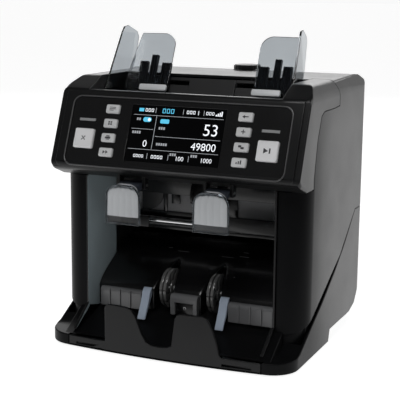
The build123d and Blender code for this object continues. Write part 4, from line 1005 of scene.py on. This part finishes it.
# ---- camera --------------------------------------------------------------------------------------------
CAMERA_TURN = radians(23.702)      # how far the camera stands round to the right of the front
CAMERA_RISE = radians(11.099)      # how far it looks down
CAMERA_ROLL = radians(0.55)
CAMERA_TARGET = Vector((-0.0055, -0.0150, 0.13485))
CAMERA_DISTANCE = 1.1
FOCAL_LENGTH = 99.9                # in mm, on a sensor 36 mm wide
SENSOR_WIDTH = 36.0
level_right = Vector((cos(CAMERA_TURN), sin(CAMERA_TURN), 0.0))
front_point = Vector((sin(CAMERA_TURN), -cos(CAMERA_TURN), 0.0))
backward = front_point * cos(CAMERA_RISE) + Vector((0.0, 0.0, sin(CAMERA_RISE)))
level_up = backward.cross(level_right)
right = level_right * cos(CAMERA_ROLL) + level_up * sin(CAMERA_ROLL)
up = level_up * cos(CAMERA_ROLL) - level_right * sin(CAMERA_ROLL)
lens = bpy.data.cameras.new("camera")
lens.lens = FOCAL_LENGTH
lens.sensor_width = SENSOR_WIDTH
lens.clip_end = 20.0
camera = bpy.data.objects.new("camera", lens)
place = Matrix.Translation(CAMERA_TARGET + backward * CAMERA_DISTANCE)
camera.matrix_world = place @ Matrix((right, up, backward)).transposed().to_4x4()
scene.collection.objects.link(camera)
scene.camera = camera
scene.view_settings.view_transform = "Standard"

# ---- studio: bright behind the machine, dark in front of it and overhead ---------------------------------
BRIGHT_SIDE = (-0.39, 0.92, 0.0)
UPWARDS = (0.0, 0.0, 1.0)
world = bpy.data.worlds.new("studio")
scene.world = world
world.use_nodes = True
sky = world.node_tree.nodes["Background"]
sky.inputs["Strength"].default_value = 1.0
sky_side = ramp_along(world.node_tree, "Generated", BRIGHT_SIDE, (-0.7, 0.5), (0.12, 0.95))
sky_height = ramp_along(world.node_tree, "Generated", UPWARDS, (0.0, 0.70), (1.0, 0.04))
sky_mix = world.node_tree.nodes.new("ShaderNodeMath")
sky_mix.operation = "MULTIPLY"
world.node_tree.links.new(sky_height, sky_mix.inputs[0])
world.node_tree.links.new(sky_side, sky_mix.inputs[1])
world.node_tree.links.new(sky_mix.outputs["Value"], sky.inputs["Color"])


def softbox(name, place, target, size, power):
    """Rectangular soft light aimed at a point."""
    light = bpy.data.lights.new(name, "AREA")
    light.shape = "RECTANGLE"
    light.size, light.size_y = size
    light.energy = power
    obj = bpy.data.objects.new(name, light)
    obj.location = place
    obj.rotation_euler = (Vector(target) - Vector(place)).to_track_quat("-Z", "Y").to_euler()
    scene.collection.objects.link(obj)


MACHINE_MIDDLE = (0.0, 0.0, 0.12)
softbox("key_right", (1.3, 0.9, 0.9), MACHINE_MIDDLE, (1.0, 1.0), 6.0)
softbox("top_rear", (-0.7, 1.8, 1.0), (-0.1, 0.2, 0.1), (1.6, 0.8), 9.0)
softbox("front_fill", (0.15, -1.35, 1.9), MACHINE_MIDDLE, (0.9, 0.9), 17.0)

FLOOR_HALF = 60.0
floor_edit = bmesh.new()
bmesh.ops.create_grid(floor_edit, x_segments=4, y_segments=4, size=FLOOR_HALF)
floor_mesh = bpy.data.meshes.new("floor")
floor_edit.to_mesh(floor_mesh)
floor_edit.free()
floor = bpy.data.objects.new("floor", floor_mesh)
scene.collection.objects.link(floor)
floor_paper = moulded("floor_paper", (0.42, 0.42, 0.42), 0.9, grain=200.0, bump=0.02, spec=0.1, vary=0.005)
floor_tree = floor_paper.node_tree
floor_shader = floor_tree.nodes["Principled BSDF"]
floor_shader.inputs["Emission Color"].default_value = (1.0, 1.0, 1.0, 1.0)
floor_glow = ramp_along(floor_tree, "Object", BRIGHT_SIDE, (-0.36, -0.20), (0.16, 0.9), smooth=True)
floor_tree.links.new(floor_glow, floor_shader.inputs["Emission Strength"])
dress(floor, floor_paper)
